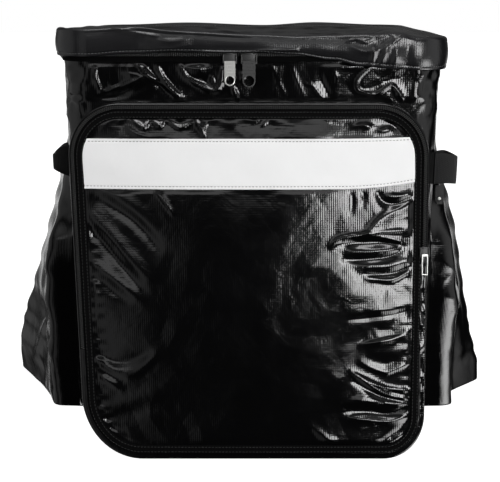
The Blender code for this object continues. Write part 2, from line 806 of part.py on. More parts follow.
def build_pocket_zipper():
    """Zipper tape beside the binding, with its coil as one raised ridge."""
    rows = panel_grid()
    inner = BINDING_WIDTH + CLEARANCE / 2
    outer = POCKET_MARGIN - POCKET_EDGE
    middle = (inner + outer) / 2
    near = CLEARANCE
    tape = near + POCKET_ZIPPER_TAPE
    crest = tape + POCKET_COIL_RISE
    half_coil = POCKET_COIL_WIDTH / 2
    profile = (
        (inner, near),
        (outer, near),
        (outer, tape),
        (middle + half_coil, tape),
        (middle + half_coil * 0.6, crest),
        (middle - half_coil * 0.6, crest),
        (middle - half_coil, tape),
        (inner, tape),
    )
    sections = []
    for cell in zipper_cells(rows):
        sections.append(tuple(border_point(rows, cell, offset, lift) for offset, lift in profile))
    return sweep("pocket_zipper", sections, zipper_nylon())


def build_reflective_band():
    """White band on the same rows as the panel, held just off its face."""
    rows = panel_grid()
    chosen = [
        row for row in range(len(rows))
        if REFLECTIVE_BOTTOM - 1e-6 <= rows[row][PANEL_COLUMNS // 4][1] <= REFLECTIVE_TOP + 1e-6
    ]
    columns = PANEL_COLUMNS + 1
    points = []
    for back in (-CLEARANCE - REFLECTIVE_THICKNESS, -CLEARANCE):
        for row in chosen:
            for column in range(columns):
                points.append(panel_point(rows, row, column, back))
    sheet = len(chosen) * columns
    faces = []
    for row in range(len(chosen) - 1):
        for column in range(PANEL_COLUMNS):
            a = row * columns + column
            for corner in split_quad(a, a + 1, a + columns + 1, a + columns):
                faces.append(corner)
                faces.append(tuple(sheet + index for index in reversed(corner)))
    last = len(chosen) - 1
    ring = [column for column in range(columns)]
    ring += [row * columns + PANEL_COLUMNS for row in range(1, last)]
    ring += [last * columns + column for column in range(PANEL_COLUMNS, -1, -1)]
    ring += [row * columns for row in range(last - 1, 0, -1)]
    for step, index in enumerate(ring):
        after = ring[(step + 1) % len(ring)]
        faces.append((after, index, sheet + index, sheet + after))
    return add_object("reflective_band", points, faces, reflective_white())


def gusset_section(share, ridge, fullness):
    """Outline of a gusset at one height: share of its reach, and of its push to the front."""
    if share <= ridge:
        turn = math.pi / 2 * share / ridge
        return math.sin(turn) ** fullness, math.sin(2 * turn)
    past = (share - ridge) / (1 - ridge)
    return 1 - past ** 1.25, 0.0


def build_gusset(name, side, full_reach, fullness, push_forward, ridge_column, folds):
    """Flared side of one cloth wall, open towards the body, standing out most at the floor."""
    plane = side * (HALF_WIDTH + CLEARANCE)
    back = GUSSET_DEPTH / 2
    least = GUSSET_CLOTH * 1.6
    grid = []
    for row in (GUSSET_ROWS[0],) + GUSSET_ROWS:
        line = []
        closing = not grid
        height = GUSSET_BOTTOM + (GUSSET_HEIGHT - GUSSET_BOTTOM) * row[0]
        start = -back + GUSSET_FRONT_INSET * row[4]
        for column in range(GUSSET_COLUMNS + 1):
            share = column / GUSSET_COLUMNS
            if closing:
                inset_share = 0.5 + (share - 0.5) * 0.92
                line.append(Vector((plane, start + (back - start) * inset_share, height)))
                continue
            out_share, forward_share = gusset_section(share, row[ridge_column], fullness)
            out = full_reach * row[1] * out_share
            if 0 < column < GUSSET_COLUMNS and row[1] > 0:
                relief = fold_relief(
                    share * GUSSET_DEPTH, row[0] * GUSSET_HEIGHT, GUSSET_DEPTH, GUSSET_HEIGHT, folds
                )
                relief *= min(1.0, row[1] * 2.5) * min(1.0, 0.4 + 2 * share)
                out = max(out + relief, least * min(1.0, row[1] * 12))
            forward = push_forward * row[1] * forward_share
            y = start + (back - start) * share - forward
            line.append(Vector((plane + side * out, y, height)))
        grid.append(line)
    return thicken_grid(name, grid, GUSSET_CLOTH, plane, side, glossy_cloth())


def thicken_grid(name, grid, wall, plane, side, look):
    """Give a grid of points a wall on its inner side, with its border kept in one upright plane."""
    rows = len(grid)
    columns = len(grid[0])
    work = bmesh.new()
    verts = [work.verts.new(point) for line in grid for point in line]
    for row in range(rows - 1):
        for column in range(columns - 1):
            a = row * columns + column
            quad = [verts[a], verts[a + 1], verts[a + columns + 1], verts[a + columns]]
            if side < 0:
                quad.reverse()
            work.faces.new(quad)
    work.normal_update()
    outer = [vert.co.copy() for vert in verts]
    inner = []
    for index, vert in enumerate(verts):
        row, column = divmod(index, columns)
        moved = vert.co - vert.normal * wall
        if row in (0, rows - 1) or column in (0, columns - 1):
            flat = Vector((0.0, vert.normal.y, vert.normal.z))
            if row == rows - 1:
                flat = Vector((0.0, 0.0, 1.0))
            if flat.length < 0.05:
                flat = Vector((0.0, 0.0, -1.0))
            moved = vert.co - flat.normalized() * wall
            moved.x = plane
        elif (moved.x - plane) * side < wall * 0.3:
            moved.x = plane + side * wall * 0.3
        inner.append(moved)
    work.free()
    points = outer + inner
    shift = len(outer)
    faces = []
    for row in range(rows - 1):
        for column in range(columns - 1):
            a = row * columns + column
            quad = [a, a + 1, a + columns + 1, a + columns]
            faces.append(tuple(quad))
            faces.append(tuple(shift + index for index in reversed(quad)))
    ring = list(range(columns))
    ring += [row * columns + columns - 1 for row in range(1, rows - 1)]
    ring += list(range((rows - 1) * columns + columns - 1, (rows - 1) * columns - 1, -1))
    ring += [row * columns for row in range(rows - 2, 0, -1)]
    for step, index in enumerate(ring):
        after = ring[(step + 1) % len(ring)]
        faces.append((after, index, shift + index, shift + after))
    made = add_object(name, points, faces, look)
    face_outwards(made)
    return made


def strip(name, path, width_direction, width, thickness, look, closed=False, rounding=0.0):
    """Flat webbing or padding of one thickness along a path, wide along one direction."""
    sections = []
    total = len(path)
    across = Vector(width_direction).normalized()
    for index, point in enumerate(path):
        before = path[index - 1] if (index > 0 or closed) else path[index]
        after = path[(index + 1) % total] if (index < total - 1 or closed) else path[index]
        run = (Vector(after) - Vector(before)).normalized()
        out = run.cross(across).normalized()
        half = width / 2
        deep = thickness / 2
        soft = rounding * deep
        corners = (
            (-half, -deep + soft), (-half + soft, -deep), (half - soft, -deep), (half, -deep + soft),
            (half, deep - soft), (half - soft, deep), (-half + soft, deep), (-half, deep - soft),
        )
        if rounding == 0.0:
            corners = ((-half, -deep), (half, -deep), (half, deep), (-half, deep))
        centre = Vector(point)
        sections.append(tuple(centre + across * a + out * b for a, b in corners))
    return sweep(name, sections, look, closed=closed)


def smooth_path(points, steps):
    """Points of a smooth curve through the given ones."""
    path = []
    last = len(points) - 1
    for index in range(last):
        p0 = Vector(points[max(index - 1, 0)])
        p1 = Vector(points[index])
        p2 = Vector(points[index + 1])
        p3 = Vector(points[min(index + 2, last)])
        for step in range(steps):
            t = step / steps
            path.append(0.5 * (
                2 * p1 + (p2 - p0) * t
                + (2 * p0 - 5 * p1 + 4 * p2 - p3) * t * t
                + (3 * p1 - p0 - 3 * p2 + p3) * t * t * t
            ))
    path.append(Vector(points[last]))
    return path


def loop_corners(side, reach):
    """Plan of a webbing loop: seamed to the side wall ahead of the gusset, standing out in front."""
    wall = HALF_WIDTH + CLEARANCE + WEBBING_THICKNESS / 2
    seam_front = FRONT + BODY_CORNER + CLEARANCE
    seam_back = GUSSET_FRONT_INSET - GUSSET_DEPTH / 2 - WEBBING_THICKNESS * 2.5
    return (
        (side * wall, seam_front),
        (side * (wall + reach * 0.92), seam_front - LOOP_FRONT),
        (side * (wall + reach), seam_front),
        (side * (wall + reach * 0.70), seam_front + LOOP_DEPTH),
        (side * (wall + reach * 0.25), seam_back),
        (side * wall, seam_back),
    )


def build_side_loop(name, side, reach, top):
    """Short webbing loop that stands out from the front corner of the body."""
    middle = top - LOOP_HEIGHT / 2
    path = [(x, y, middle) for x, y in loop_corners(side, reach)]
    return strip(name, path, (0, 0, 1), LOOP_HEIGHT, WEBBING_THICKNESS, webbing_nylon(), closed=True)


def build_tongue():
    """Tongue of webbing that hangs under the right loop, with a rivet."""
    corners = loop_corners(1, LOOP_RIGHT_REACH)
    x = HALF_WIDTH + CLEARANCE + LOOP_RIGHT_REACH * 0.30
    y = corners[1][1] + 0.002
    top = LOOP_RIGHT_TOP - LOOP_HEIGHT - CLEARANCE
    bottom = top - TONGUE_LENGTH
    path = [(x, y, top), (x, y - 0.0005, top - TONGUE_LENGTH * 0.5), (x + 0.001, y, bottom)]
    strip("strap_tongue", path, (1, 0, 0), TONGUE_WIDTH, WEBBING_THICKNESS, webbing_nylon())
    face_y = y - 0.0005 - WEBBING_THICKNESS / 2 - CLEARANCE
    return add_disc(
        "tongue_rivet", (x, face_y, bottom + TONGUE_LENGTH * 0.32), RIVET_DIAMETER, RIVET_RISE,
        bright_metal()
    )


def add_disc(name, seat, diameter, rise, look):
    """Low round head whose flat back sits at a point and whose face looks forward."""
    sides = 12
    rings = ((0.0, 1.0), (0.55, 1.0), (1.0, 0.6))
    loops = []
    for lift, share in rings:
        ring = []
        for step in range(sides):
            angle = 2 * math.pi * step / sides
            reach = diameter / 2 * share
            x = seat[0] + reach * math.cos(angle)
            z = seat[2] + reach * math.sin(angle)
            ring.append((x, seat[1] - rise * lift, z))
        loops.append(ring)
    made = loft(name, loops, look)
    face_outwards(made)
    return made


def slider_outline(width, floor, depth):
    """Plan of a zipper slider: a floor on the tape and an ear at each side of its pull."""
    half = width / 2
    return (
        (-half, 0.0), (half, 0.0), (half, -depth), (half - SLIDER_EAR, -depth),
        (half - SLIDER_EAR, -floor), (-half + SLIDER_EAR, -floor),
        (-half + SLIDER_EAR, -depth), (-half, -depth),
    )


def build_slider(name, place, width, floor, depth, height, tilt, look):
    """Zipper slider with two ears. Its origin is at the back of its floor, at mid height."""
    outline = slider_outline(width, floor, depth)
    points = [(x, y, -height / 2) for x, y in outline] + [(x, y, height / 2) for x, y in outline]
    count = len(outline)
    faces = [tuple(reversed(range(count))), tuple(range(count, 2 * count))]
    for step in range(count):
        after = (step + 1) % count
        faces.append((step, after, count + after, count + step))
    made = add_object(name, points, faces, look, smooth=False)
    face_outwards(made)
    made.location = place
    made.rotation_euler = (tilt, 0.0, 0.0)
    return made


def ring_plate(width, length, wall, square_bottom):
    """Outer and inner outlines of a pull with a hole, as pairs of points at equal angles."""
    half = width / 2
    hole = half - wall
    low = -length
    if square_bottom:
        inner_top = -length * 0.30
        inner_low = low + wall
        outer = ((half, 0.0), (half, low), (-half, low), (-half, 0.0))
        inner = ((hole, inner_top), (hole, inner_low), (-hole, inner_low), (-hole, inner_top))
        return outer, inner
    centre = low + half
    top_angle = math.atan2(-centre, half)
    angles = [top_angle, math.radians(90), math.pi - top_angle]
    angles += [math.pi - top_angle + (top_angle * step / 3) for step in range(1, 4)]
    angles += [math.pi + math.pi * step / 8 for step in range(1, 9)]
    angles += [top_angle * step / 3 for step in range(1, 3)]
    outer = []
    inner = []
    for angle in angles:
        cosine = math.cos(angle)
        sine = math.sin(angle)
        reach = half
        if sine > 1e-9:
            sideways = half / abs(cosine) if abs(cosine) > 1e-9 else 10.0
            reach = min(sideways, -centre / sine)
        outer.append((reach * cosine, centre + reach * sine))
        inner.append((hole * cosine, centre + hole * sine))
    return tuple(outer), tuple(inner)


def build_pull(name, pivot, width, length, wall, tilt, look, square_bottom=False):
    """Flat pull with a hole, hung from its hinge axis, which is its origin."""
    outer, inner = ring_plate(width, length, wall, square_bottom)
    top = PULL_THICKNESS / 2
    deep = PULL_THICKNESS / 2
    count = len(outer)
    points = []
    for outline, y in ((outer, -deep), (inner, -deep), (inner, deep), (outer, deep)):
        points += [(x, y, z + (top * 0.5 if z > -1e-6 else 0.0)) for x, z in outline]
    faces = []
    for layer in range(4):
        base = layer * count
        ahead = ((layer + 1) % 4) * count
        for step in range(count):
            after = (step + 1) % count
            faces.append((base + step, base + after, ahead + after, ahead + step))
    made = add_object(name, points, faces, look, smooth=False)
    face_outwards(made)
    made.location = pivot
    made.rotation_euler = (tilt, 0.0, 0.0)
    return made


def build_main_pull(label, across, width, length, look):
    """One slider of the main zipper and the pull that hangs from it."""
    back = FRONT - CLEARANCE - MAIN_ZIPPER_TAPE - CLEARANCE
    ears = MAIN_SLIDER_FLOOR + PULL_SWING_GAP + PULL_THICKNESS
    slider_width = width + 2 * (SLIDER_EAR + CLEARANCE)
    height = ZIPPER_BOTTOM - MAIN_SLIDER_BELOW_TAPE + MAIN_SLIDER_HEIGHT / 2
    slider = build_slider(
        "main_slider_" + label, (across, back, height), slider_width, MAIN_SLIDER_FLOOR, ears,
        MAIN_SLIDER_HEIGHT, 0.0, dark_metal()
    )
    hinge_y = back - MAIN_SLIDER_FLOOR - PULL_SWING_GAP - PULL_THICKNESS / 2
    pivot = (across, hinge_y, height - MAIN_SLIDER_HEIGHT / 4)
    pull = build_pull("main_pull_" + label, pivot, width, length, PULL_WALL, 0.0, look)
    return slider, pull


def build_pocket_pull():
    """The pocket zipper's slider at the right, and its loop pull, which lies on the panel."""
    offset = (BINDING_WIDTH + POCKET_MARGIN - POCKET_EDGE + CLEARANCE / 2) / 2
    slope = math.atan2(POCKET_BOTTOM_REACH - POCKET_TOP_REACH, POCKET_HEIGHT)
    across = PANEL_HALF + offset
    surface = panel_surface(across, POCKET_SLIDER_HEIGHT)
    lift = CLEARANCE * 2 + POCKET_ZIPPER_TAPE + POCKET_COIL_RISE
    back = surface - lift / math.cos(slope)
    x = pocket_place(across, POCKET_SLIDER_HEIGHT)
    ears = POCKET_SLIDER_FLOOR + PULL_SWING_GAP + PULL_THICKNESS
    width = POCKET_PULL_WIDTH + 2 * (SLIDER_EAR + CLEARANCE)
    build_slider(
        "pocket_slider", (x, back, POCKET_SLIDER_HEIGHT), width, POCKET_SLIDER_FLOOR, ears,
        POCKET_SLIDER_LENGTH, -slope, dark_metal()
    )
    stand = POCKET_SLIDER_FLOOR + PULL_SWING_GAP + PULL_THICKNESS / 2
    low = -POCKET_SLIDER_LENGTH * 0.15
    pivot_y = back - stand * math.cos(slope) + low * math.sin(slope)
    pivot_z = POCKET_SLIDER_HEIGHT + stand * math.sin(slope) + low * math.cos(slope)
    build_pull(
        "pocket_pull", (x, pivot_y, pivot_z), POCKET_PULL_WIDTH, POCKET_PULL_LENGTH,
        POCKET_PULL_WIRE, -slope, bright_metal(), square_bottom=True
    )


def strap_path(side):
    """Centre line of a shoulder strap, from its seam under the rim to its lower end."""
    near = BACK + CLEARANCE + STRAP_THICKNESS / 2
    chosen = []
    for level, stand in STRAP_ROWS:
        height = STRAP_BOTTOM + (STRAP_TOP - STRAP_BOTTOM) * level
        across = STRAP_BOTTOM_ACROSS + (STRAP_TOP_ACROSS - STRAP_BOTTOM_ACROSS) * level
        chosen.append((side * across, near + STRAP_STAND_OFF * stand, height))
    return smooth_path(chosen, 2)


def build_shoulder_side(label, side):
    """A padded shoulder strap, its ladder lock and the webbing down to the base of the back."""
    path = strap_path(side)
    strip(
        "shoulder_strap_" + label, path, (1, 0, 0), STRAP_WIDTH, STRAP_THICKNESS, padded_mesh(),
        rounding=0.7
    )
    end = path[-1]
    run = (path[-1] - path[-2]).normalized()
    lock_top = end + run * CLEARANCE
    lock_end = lock_top + run * LOCK_LENGTH
    strip(
        "ladder_lock_" + label, [lock_top, lock_end], (1, 0, 0), LOCK_WIDTH, LOCK_THICKNESS,
        black_plastic(), rounding=0.4
    )
    webbing_top = lock_end + run * CLEARANCE
    near = BACK + CLEARANCE + WEBBING_THICKNESS / 2
    landing_top = LOWER_WEBBING_BOTTOM + LOWER_WEBBING_LANDING
    x = side * LOWER_WEBBING_ACROSS
    gap_y = webbing_top.y - near
    mid_x = (webbing_top.x + x) / 2
    mid_z = (webbing_top.z + landing_top) / 2
    route = [
        webbing_top,
        Vector((mid_x, near + gap_y * 0.42, mid_z)),
        Vector((x - side * 0.006, near + gap_y * 0.04, landing_top)),
        Vector((x, near, landing_top - LOWER_WEBBING_LANDING * 0.3)),
        Vector((x, near, LOWER_WEBBING_BOTTOM)),
    ]
    strip(
        "lower_webbing_" + label, smooth_path(route, 3), (1, 0, 0), LOWER_WEBBING_WIDTH,
        WEBBING_THICKNESS, webbing_nylon()
    )


def build_handle():
    """Carrying handle of webbing at the top of the back."""
    near = BACK + CLEARANCE + HANDLE_THICKNESS / 2
    half = HANDLE_SPAN / 2
    inner = half - HANDLE_LANDING
    middle = HANDLE_TOP - HANDLE_WIDTH / 2
    route = [
        Vector((-half, near, middle)),
        Vector((-inner, near, middle)),
        Vector((-inner * 0.72, near + HANDLE_STAND_OFF * 0.55, middle)),
        Vector((0.0, near + HANDLE_STAND_OFF, middle)),
        Vector((inner * 0.72, near + HANDLE_STAND_OFF * 0.55, middle)),
        Vector((inner, near, middle)),
        Vector((half, near, middle)),
    ]
    path = [route[0]] + smooth_path(route[1:-1], 4) + [route[-1]]
    return strip("haul_handle", path, (0, 0, 1), HANDLE_WIDTH, HANDLE_THICKNESS, webbing_nylon())


def main():
    """Build every piece of the backpack."""
    clear_scene()
    build_body()
    build_lid()
    build_main_zipper()
    build_pocket()
    build_binding()
    build_pocket_zipper()
    build_reflective_band()
    build_gusset(
        "side_gusset_left", -1, GUSSET_LEFT_REACH, GUSSET_LEFT_FULLNESS, GUSSET_LEFT_FORWARD, 2,
        GUSSET_FOLDS_LEFT
    )
    build_gusset(
        "side_gusset_right", 1, GUSSET_RIGHT_REACH, GUSSET_RIGHT_FULLNESS, GUSSET_RIGHT_FORWARD, 3,
        GUSSET_FOLDS_RIGHT
    )
    build_side_loop("side_loop_left", -1, LOOP_LEFT_REACH, LOOP_LEFT_TOP)
    build_side_loop("side_loop_right", 1, LOOP_RIGHT_REACH, LOOP_RIGHT_TOP)
    build_tongue()
    build_main_pull("left", PULL_LEFT_ACROSS, PULL_LEFT_WIDTH, PULL_LEFT_LENGTH, bright_metal())
    build_main_pull("right", PULL_RIGHT_ACROSS, PULL_RIGHT_WIDTH, PULL_RIGHT_LENGTH, dark_metal())
    build_pocket_pull()
    build_shoulder_side("left", -1)
    build_shoulder_side("right", 1)
    build_handle()


main()
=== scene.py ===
"""Looks of an insulated delivery backpack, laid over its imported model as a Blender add-on."""

import math

import bpy
import numpy as np
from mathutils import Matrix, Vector


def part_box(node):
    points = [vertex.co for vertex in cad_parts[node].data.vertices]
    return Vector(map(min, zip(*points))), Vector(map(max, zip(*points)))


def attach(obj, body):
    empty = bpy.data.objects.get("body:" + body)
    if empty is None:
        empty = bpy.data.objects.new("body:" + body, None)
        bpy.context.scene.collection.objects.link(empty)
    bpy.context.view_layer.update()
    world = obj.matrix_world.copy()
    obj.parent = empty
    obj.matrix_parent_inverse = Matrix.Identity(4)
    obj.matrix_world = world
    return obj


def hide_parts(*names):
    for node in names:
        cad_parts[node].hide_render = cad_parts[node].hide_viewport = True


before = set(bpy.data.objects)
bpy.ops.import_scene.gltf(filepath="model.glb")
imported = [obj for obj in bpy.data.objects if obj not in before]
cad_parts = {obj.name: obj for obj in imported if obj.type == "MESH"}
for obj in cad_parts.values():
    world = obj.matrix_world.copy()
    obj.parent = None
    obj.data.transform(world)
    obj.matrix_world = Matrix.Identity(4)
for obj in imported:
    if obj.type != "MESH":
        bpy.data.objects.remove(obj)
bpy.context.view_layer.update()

bl_info = {
    "name": "Insulated delivery backpack looks",
    "version": (1, 0, 0),
    "blender": (4, 5, 0),
    "location": "3D View > Sidebar > Backpack",
    "description": "Dresses the packed backpack in coated cloth, webbing, zippers and stitches",
    "category": "Object",
}

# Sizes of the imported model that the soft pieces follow, in metres. The front faces -Y.
BODY_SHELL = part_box("body_shell")
HALF_WIDTH = BODY_SHELL[1].x
BACK = BODY_SHELL[1].y
FRONT = -BACK
BODY_HEIGHT = BODY_SHELL[1].z
BODY_CORNER = 0.030
BODY_WALL = 0.006
BODY_BASE = 0.008
BASE_EDGE = 0.006
CLEARANCE = 0.0004
MM = 1000  # Millimetres in a metre, for the tables of creases

# Lid
LID_SIDE_LIP = 0.0065
LID_FRONT_LIP = 0.006
LID_RIM = 0.012
LID_PANEL = 0.005
LID_SAG = 0.009
SKIRT_DROP = 0.024
SKIRT_CLOTH = 0.0016
RIM_ROUNDING = 0.004
SKIRT_SWELL = 0.0016
LID_DULL = 0.12
# How much paler the lid's copy of the coated cloth is painted: painted light, standing in for the
# grey sheen over its skirt and top
LID_PAINTED_PALER = 4.8

# Front pocket
POCKET_WIDTH = 0.362
POCKET_TOP = BODY_HEIGHT - 0.054
POCKET_BOTTOM = 0.001
POCKET_CORNER = 0.053
POCKET_LOW_LEFT_CORNER = 0.062
POCKET_LOW_RIGHT_CORNER = 0.043
POCKET_TAPER = 0.056
POCKET_TOP_ACROSS = -0.0040
POCKET_BOTTOM_ACROSS = 0.0025
POCKET_TOP_REACH = 0.014
POCKET_BOTTOM_REACH = 0.093
POCKET_BULGE = 0.008
BINDING_WIDTH = 0.0078
POCKET_ZIPPER_WIDTH = 0.0072
COIL_WIDTH = 0.0034
ZIPPER_LEFT_END = 0.110
POCKET_SLIDER_HEIGHT = 0.206
REFLECTIVE_TOP = POCKET_TOP - 0.035
REFLECTIVE_HEIGHT = 0.050
REFLECTIVE_BOTTOM = REFLECTIVE_TOP - REFLECTIVE_HEIGHT
REFLECTIVE_LIFT = 0.0065
POCKET_HEIGHT = POCKET_TOP - POCKET_BOTTOM
POCKET_MARGIN = BINDING_WIDTH + POCKET_ZIPPER_WIDTH
PANEL_HALF = POCKET_WIDTH / 2 - POCKET_MARGIN
PANEL_LOW = POCKET_BOTTOM + POCKET_MARGIN
PANEL_HIGH = POCKET_TOP - POCKET_MARGIN
PANEL_GROW = 0.002  # What the panel runs on under its binding
PANEL_LOOK = (0.0, -0.976, 0.22)  # The way the panel faces
BINDING_UNDER = 0.0002
BINDING_FACE = 0.0017
COIL_THICKNESS = 0.0013
CLOTH_THICKNESS = 0.0014
BAND_THICKNESS = 0.0007
BAND_OFF_PANEL = 0.0012
BAND_SEAMS = (("low", 0.055), ("high", 0.945))
BAND_SEAM_BREADTH = 0.012

# Strip of the body over the pocket, and what its creases keep clear of
STRIP_FULL = 0.382
STRIP_END = 0.3885
STRIP_SHARE = 0.8
DEEPEST_CREASE = 0.005

# Side gussets
GUSSET_HEIGHT = BODY_HEIGHT - 0.029
GUSSET_BOTTOM = 0.0005
GUSSET_DEPTH = 0.266
GUSSET_REACH = {-1: 0.096, 1: 0.079}
GUSSET_FRONT_INSET = 0.018
GUSSET_HEM_LIFT = {-1: 0.007, 1: 0.002}
GUSSET_HOLLOW = {-1: 0.24, 1: 0.06}
RIDGE_BREADTH = {-1: 0.13, 1: 0.08}
FOLD_ROUNDING = (-0.014, -0.007, 0.0, 0.007, 0.014)

# Zippers, pulls, webbing and straps
MAIN_ZIPPER_TOP = BODY_HEIGHT - 0.001
MAIN_ZIPPER_WIDTH = 0.014
MAIN_ZIPPER_TAPE = 0.0010
MAIN_SLIDER_HEIGHT = 0.010
MAIN_SLIDER_MIDDLE = MAIN_ZIPPER_TOP - MAIN_ZIPPER_WIDTH - 0.002 + MAIN_SLIDER_HEIGHT / 2
MAIN_SLIDER_BACK = FRONT - 2 * CLEARANCE - MAIN_ZIPPER_TAPE
SLIDER_FLOOR = 0.0016
SLIDER_EAR = 0.0012
PULL_THICKNESS = 0.0016
PULL_SWING_GAP = 0.0007
PULL_WALL = 0.0012
# Main pulls: place across, width, length and metal
PULLS = {
    "left": (-0.0220, 0.0108, 0.0240, "bright_metal"),
    "right": (-0.0030, 0.0128, 0.0255, "dark_metal"),
}
KNURL_ROWS = 4
KNURL_SIZE = (0.0019, 0.0013, 0.0009)
SLIDER_DEPTH = SLIDER_FLOOR + PULL_SWING_GAP + PULL_THICKNESS
POCKET_SLIDER_LENGTH = 0.0100
POCKET_PULL_WIDTH = 0.0062
POCKET_PULL_LENGTH = 0.0210
POCKET_PULL_WIRE = 0.0011
LOOP_HEIGHT = 0.033
LOOP_TOP = {-1: BODY_HEIGHT - 0.104, 1: BODY_HEIGHT - 0.113}
LOOP_REACH = {-1: 0.0145, 1: 0.0213}
LOOP_DEPTH = 0.018
LOOP_FRONT = 0.006
WEBBING_THICKNESS = 0.0016
WEBBING_WIDTH = 0.025
TONGUE_WIDTH = 0.0095
TONGUE_LENGTH = 0.020
STRAP_WIDTH = 0.060
STRAP_THICKNESS = 0.012
STRAP_BOTTOM = 0.105
STRAP_TOP = BODY_HEIGHT - 0.058
STRAP_STAND_OFF = 0.048
STRAP_TOP_ACROSS = 0.058
STRAP_BOTTOM_ACROSS = 0.098
STRAP_EDGE = 0.0022
STRAP_BINDING = 0.0056
QUILT_PITCH = 0.034
QUILT_RISE = 0.0008
STRAP_ROWS = (
    (1.00, 0.00), (0.95, 0.00), (0.90, 0.02), (0.83, 0.30), (0.72, 0.66), (0.58, 0.92),
    (0.44, 1.00), (0.30, 0.92), (0.16, 0.70), (0.07, 0.52), (0.00, 0.40),
)
LOCK_SIZE = (0.034, 0.008, 0.016)
LOWER_WEBBING_ACROSS = HALF_WIDTH - 0.054
LOWER_WEBBING_BOTTOM = 0.020
LOWER_WEBBING_LANDING = 0.028
HANDLE_SPAN = 0.120
HANDLE_LANDING = 0.026
HANDLE_WIDTH = 0.025
HANDLE_MIDDLE = BODY_HEIGHT - SKIRT_DROP - 0.003 - HANDLE_WIDTH / 2
HANDLE_STAND_OFF = 0.024
HANDLE_THICKNESS = 0.004

# Studio. The windows' columns: the setting that scales each, its share of it, and the smooth edges
# that bound it, each an axis with the place where the window ends and the one where it is full.
WINDOWS = (
    ("side_light", 0.55, (("x", -0.70, -0.88), ("y", 0.95, 0.70))),
    ("side_light", 1.0, (("x", 0.50, 0.80), ("y", 0.15, -0.10))),
    ("left_light", 1.0, (("x", -0.18, -0.34), ("x", -0.66, -0.50), ("y", 0.0, -0.2))),
    (None, 0.45, (("z", 0.55, 0.95),)),
    ("side_light", 1.0, (("z", -0.02, -0.14), ("y", 0.70, 0.85))),
    ("low_light", 1.0, (
        ("x", 0.38, 0.46), ("x", 0.84, 0.74), ("y", -0.2, -0.4), ("z", -0.22, -0.3)
    )),
    ("high_light", 1.0, (
        ("z", 0.36, 0.44), ("z", 0.62, 0.54), ("off", 0.34, 0.22), ("y", -0.4, -0.6)
    )),
    (None, 0.09, (("y", 0.6, 0.8), ("z", 0.5, 0.3))),
)
ROOM_DARK = 0.008
# Lamps: name, place, target, width, height and the setting that gives the power
LAMPS = (
    ("key", (0.59, -1.60, 0.58), (0.10, -0.22, 0.22), 0.36, 0.62, "key_power"),
    ("top", (0.0, -0.75, 1.50), (0.0, -0.10, 0.3), 1.0, 0.28, "top_power"),
)
CAMERA_PLACE = (-0.002, -1.1, 0.464)
CAMERA_DOWN = 0.271
SENSOR_WIDTH = 36.0
FLOOR_SIZE = 12
FLOOR_PLACE = (0, 2.0, -0.0006)

# Lid edge, all round. Columns: place (0 to 1 along the front from the left, then right side, back
# and left side), rim height, skirt hem below the rim of the body, and bow outwards, all as shares.
LID_EDGE = (
    (0.00, 1.45, 0.42, 0.00),
    (0.15, 1.62, 0.30, -0.10),
    (0.28, 1.32, 0.22, 0.05),
    (0.50, 1.02, 0.24, 0.12),
    (0.62, 0.88, 0.33, 0.02),
    (0.74, 0.95, 0.56, -0.08),
    (0.82, 1.05, 0.80, 0.08),
    (0.92, 1.10, 0.92, 0.05),
    (1.00, 0.70, 0.98, 0.00),
    (1.30, 0.70, 0.80, 0.10),
    (1.70, 0.62, 0.92, -0.05),
    (2.00, 0.60, 0.85, 0.00),
    (2.25, 0.85, 0.80, 0.06),
    (2.45, 0.55, 0.86, -0.04),
    (2.75, 0.82, 0.80, 0.05),
    (3.00, 0.60, 0.90, 0.00),
    (3.45, 0.95, 0.70, 0.10),
    (3.85, 1.20, 0.82, 0.00),
    (4.00, 1.45, 0.42, 0.00),
)
LID_SAG_ROWS = ((0.0, 1.0), (0.12, 1.0), (0.42, 0.88), (0.70, 0.50), (0.90, 0.0), (1.0, 0.0))

# Gusset rows. Columns: share of the height, reach of the ridge on the left and on the right, the
# ridge's place along the depth on each, and how far the front seam is set back behind the loop.
GUSSET_ROWS = (
    (0.000, 0.965, 1.045, 0.38, 0.27, 0.0),
    (0.060, 0.975, 1.030, 0.38, 0.27, 0.0),
    (0.110, 0.965, 0.960, 0.38, 0.27, 0.0),
    (0.180, 0.910, 0.870, 0.38, 0.27, 0.0),
    (0.225, 0.850, 0.825, 0.37, 0.27, 0.0),
    (0.320, 0.715, 0.730, 0.34, 0.27, 0.0),
    (0.415, 0.585, 0.640, 0.30, 0.26, 0.0),
    (0.510, 0.465, 0.545, 0.28, 0.25, 0.0),
    (0.600, 0.365, 0.440, 0.27, 0.25, 0.5),
    (0.670, 0.300, 0.345, 0.27, 0.26, 1.0),
    (0.740, 0.225, 0.245, 0.28, 0.28, 1.0),
    (0.820, 0.150, 0.155, 0.30, 0.30, 1.0),
    (0.910, 0.090, 0.090, 0.32, 0.32, 0.9),
    (1.000, 0.000, 0.000, 0.34, 0.34, 0.8),
)
# Pleat behind the pocket. Columns: place along the depth, reach outward, push to the front.
PLEATS = {
    -1: ((0.060, 0.032, 0.0190), (0.075, 0.034, 0.0170)),
    1: ((0.050, 0.022, 0.0140), (0.094, 0.035, 0.0214)),
}
PLEAT_SHARE = 0.62

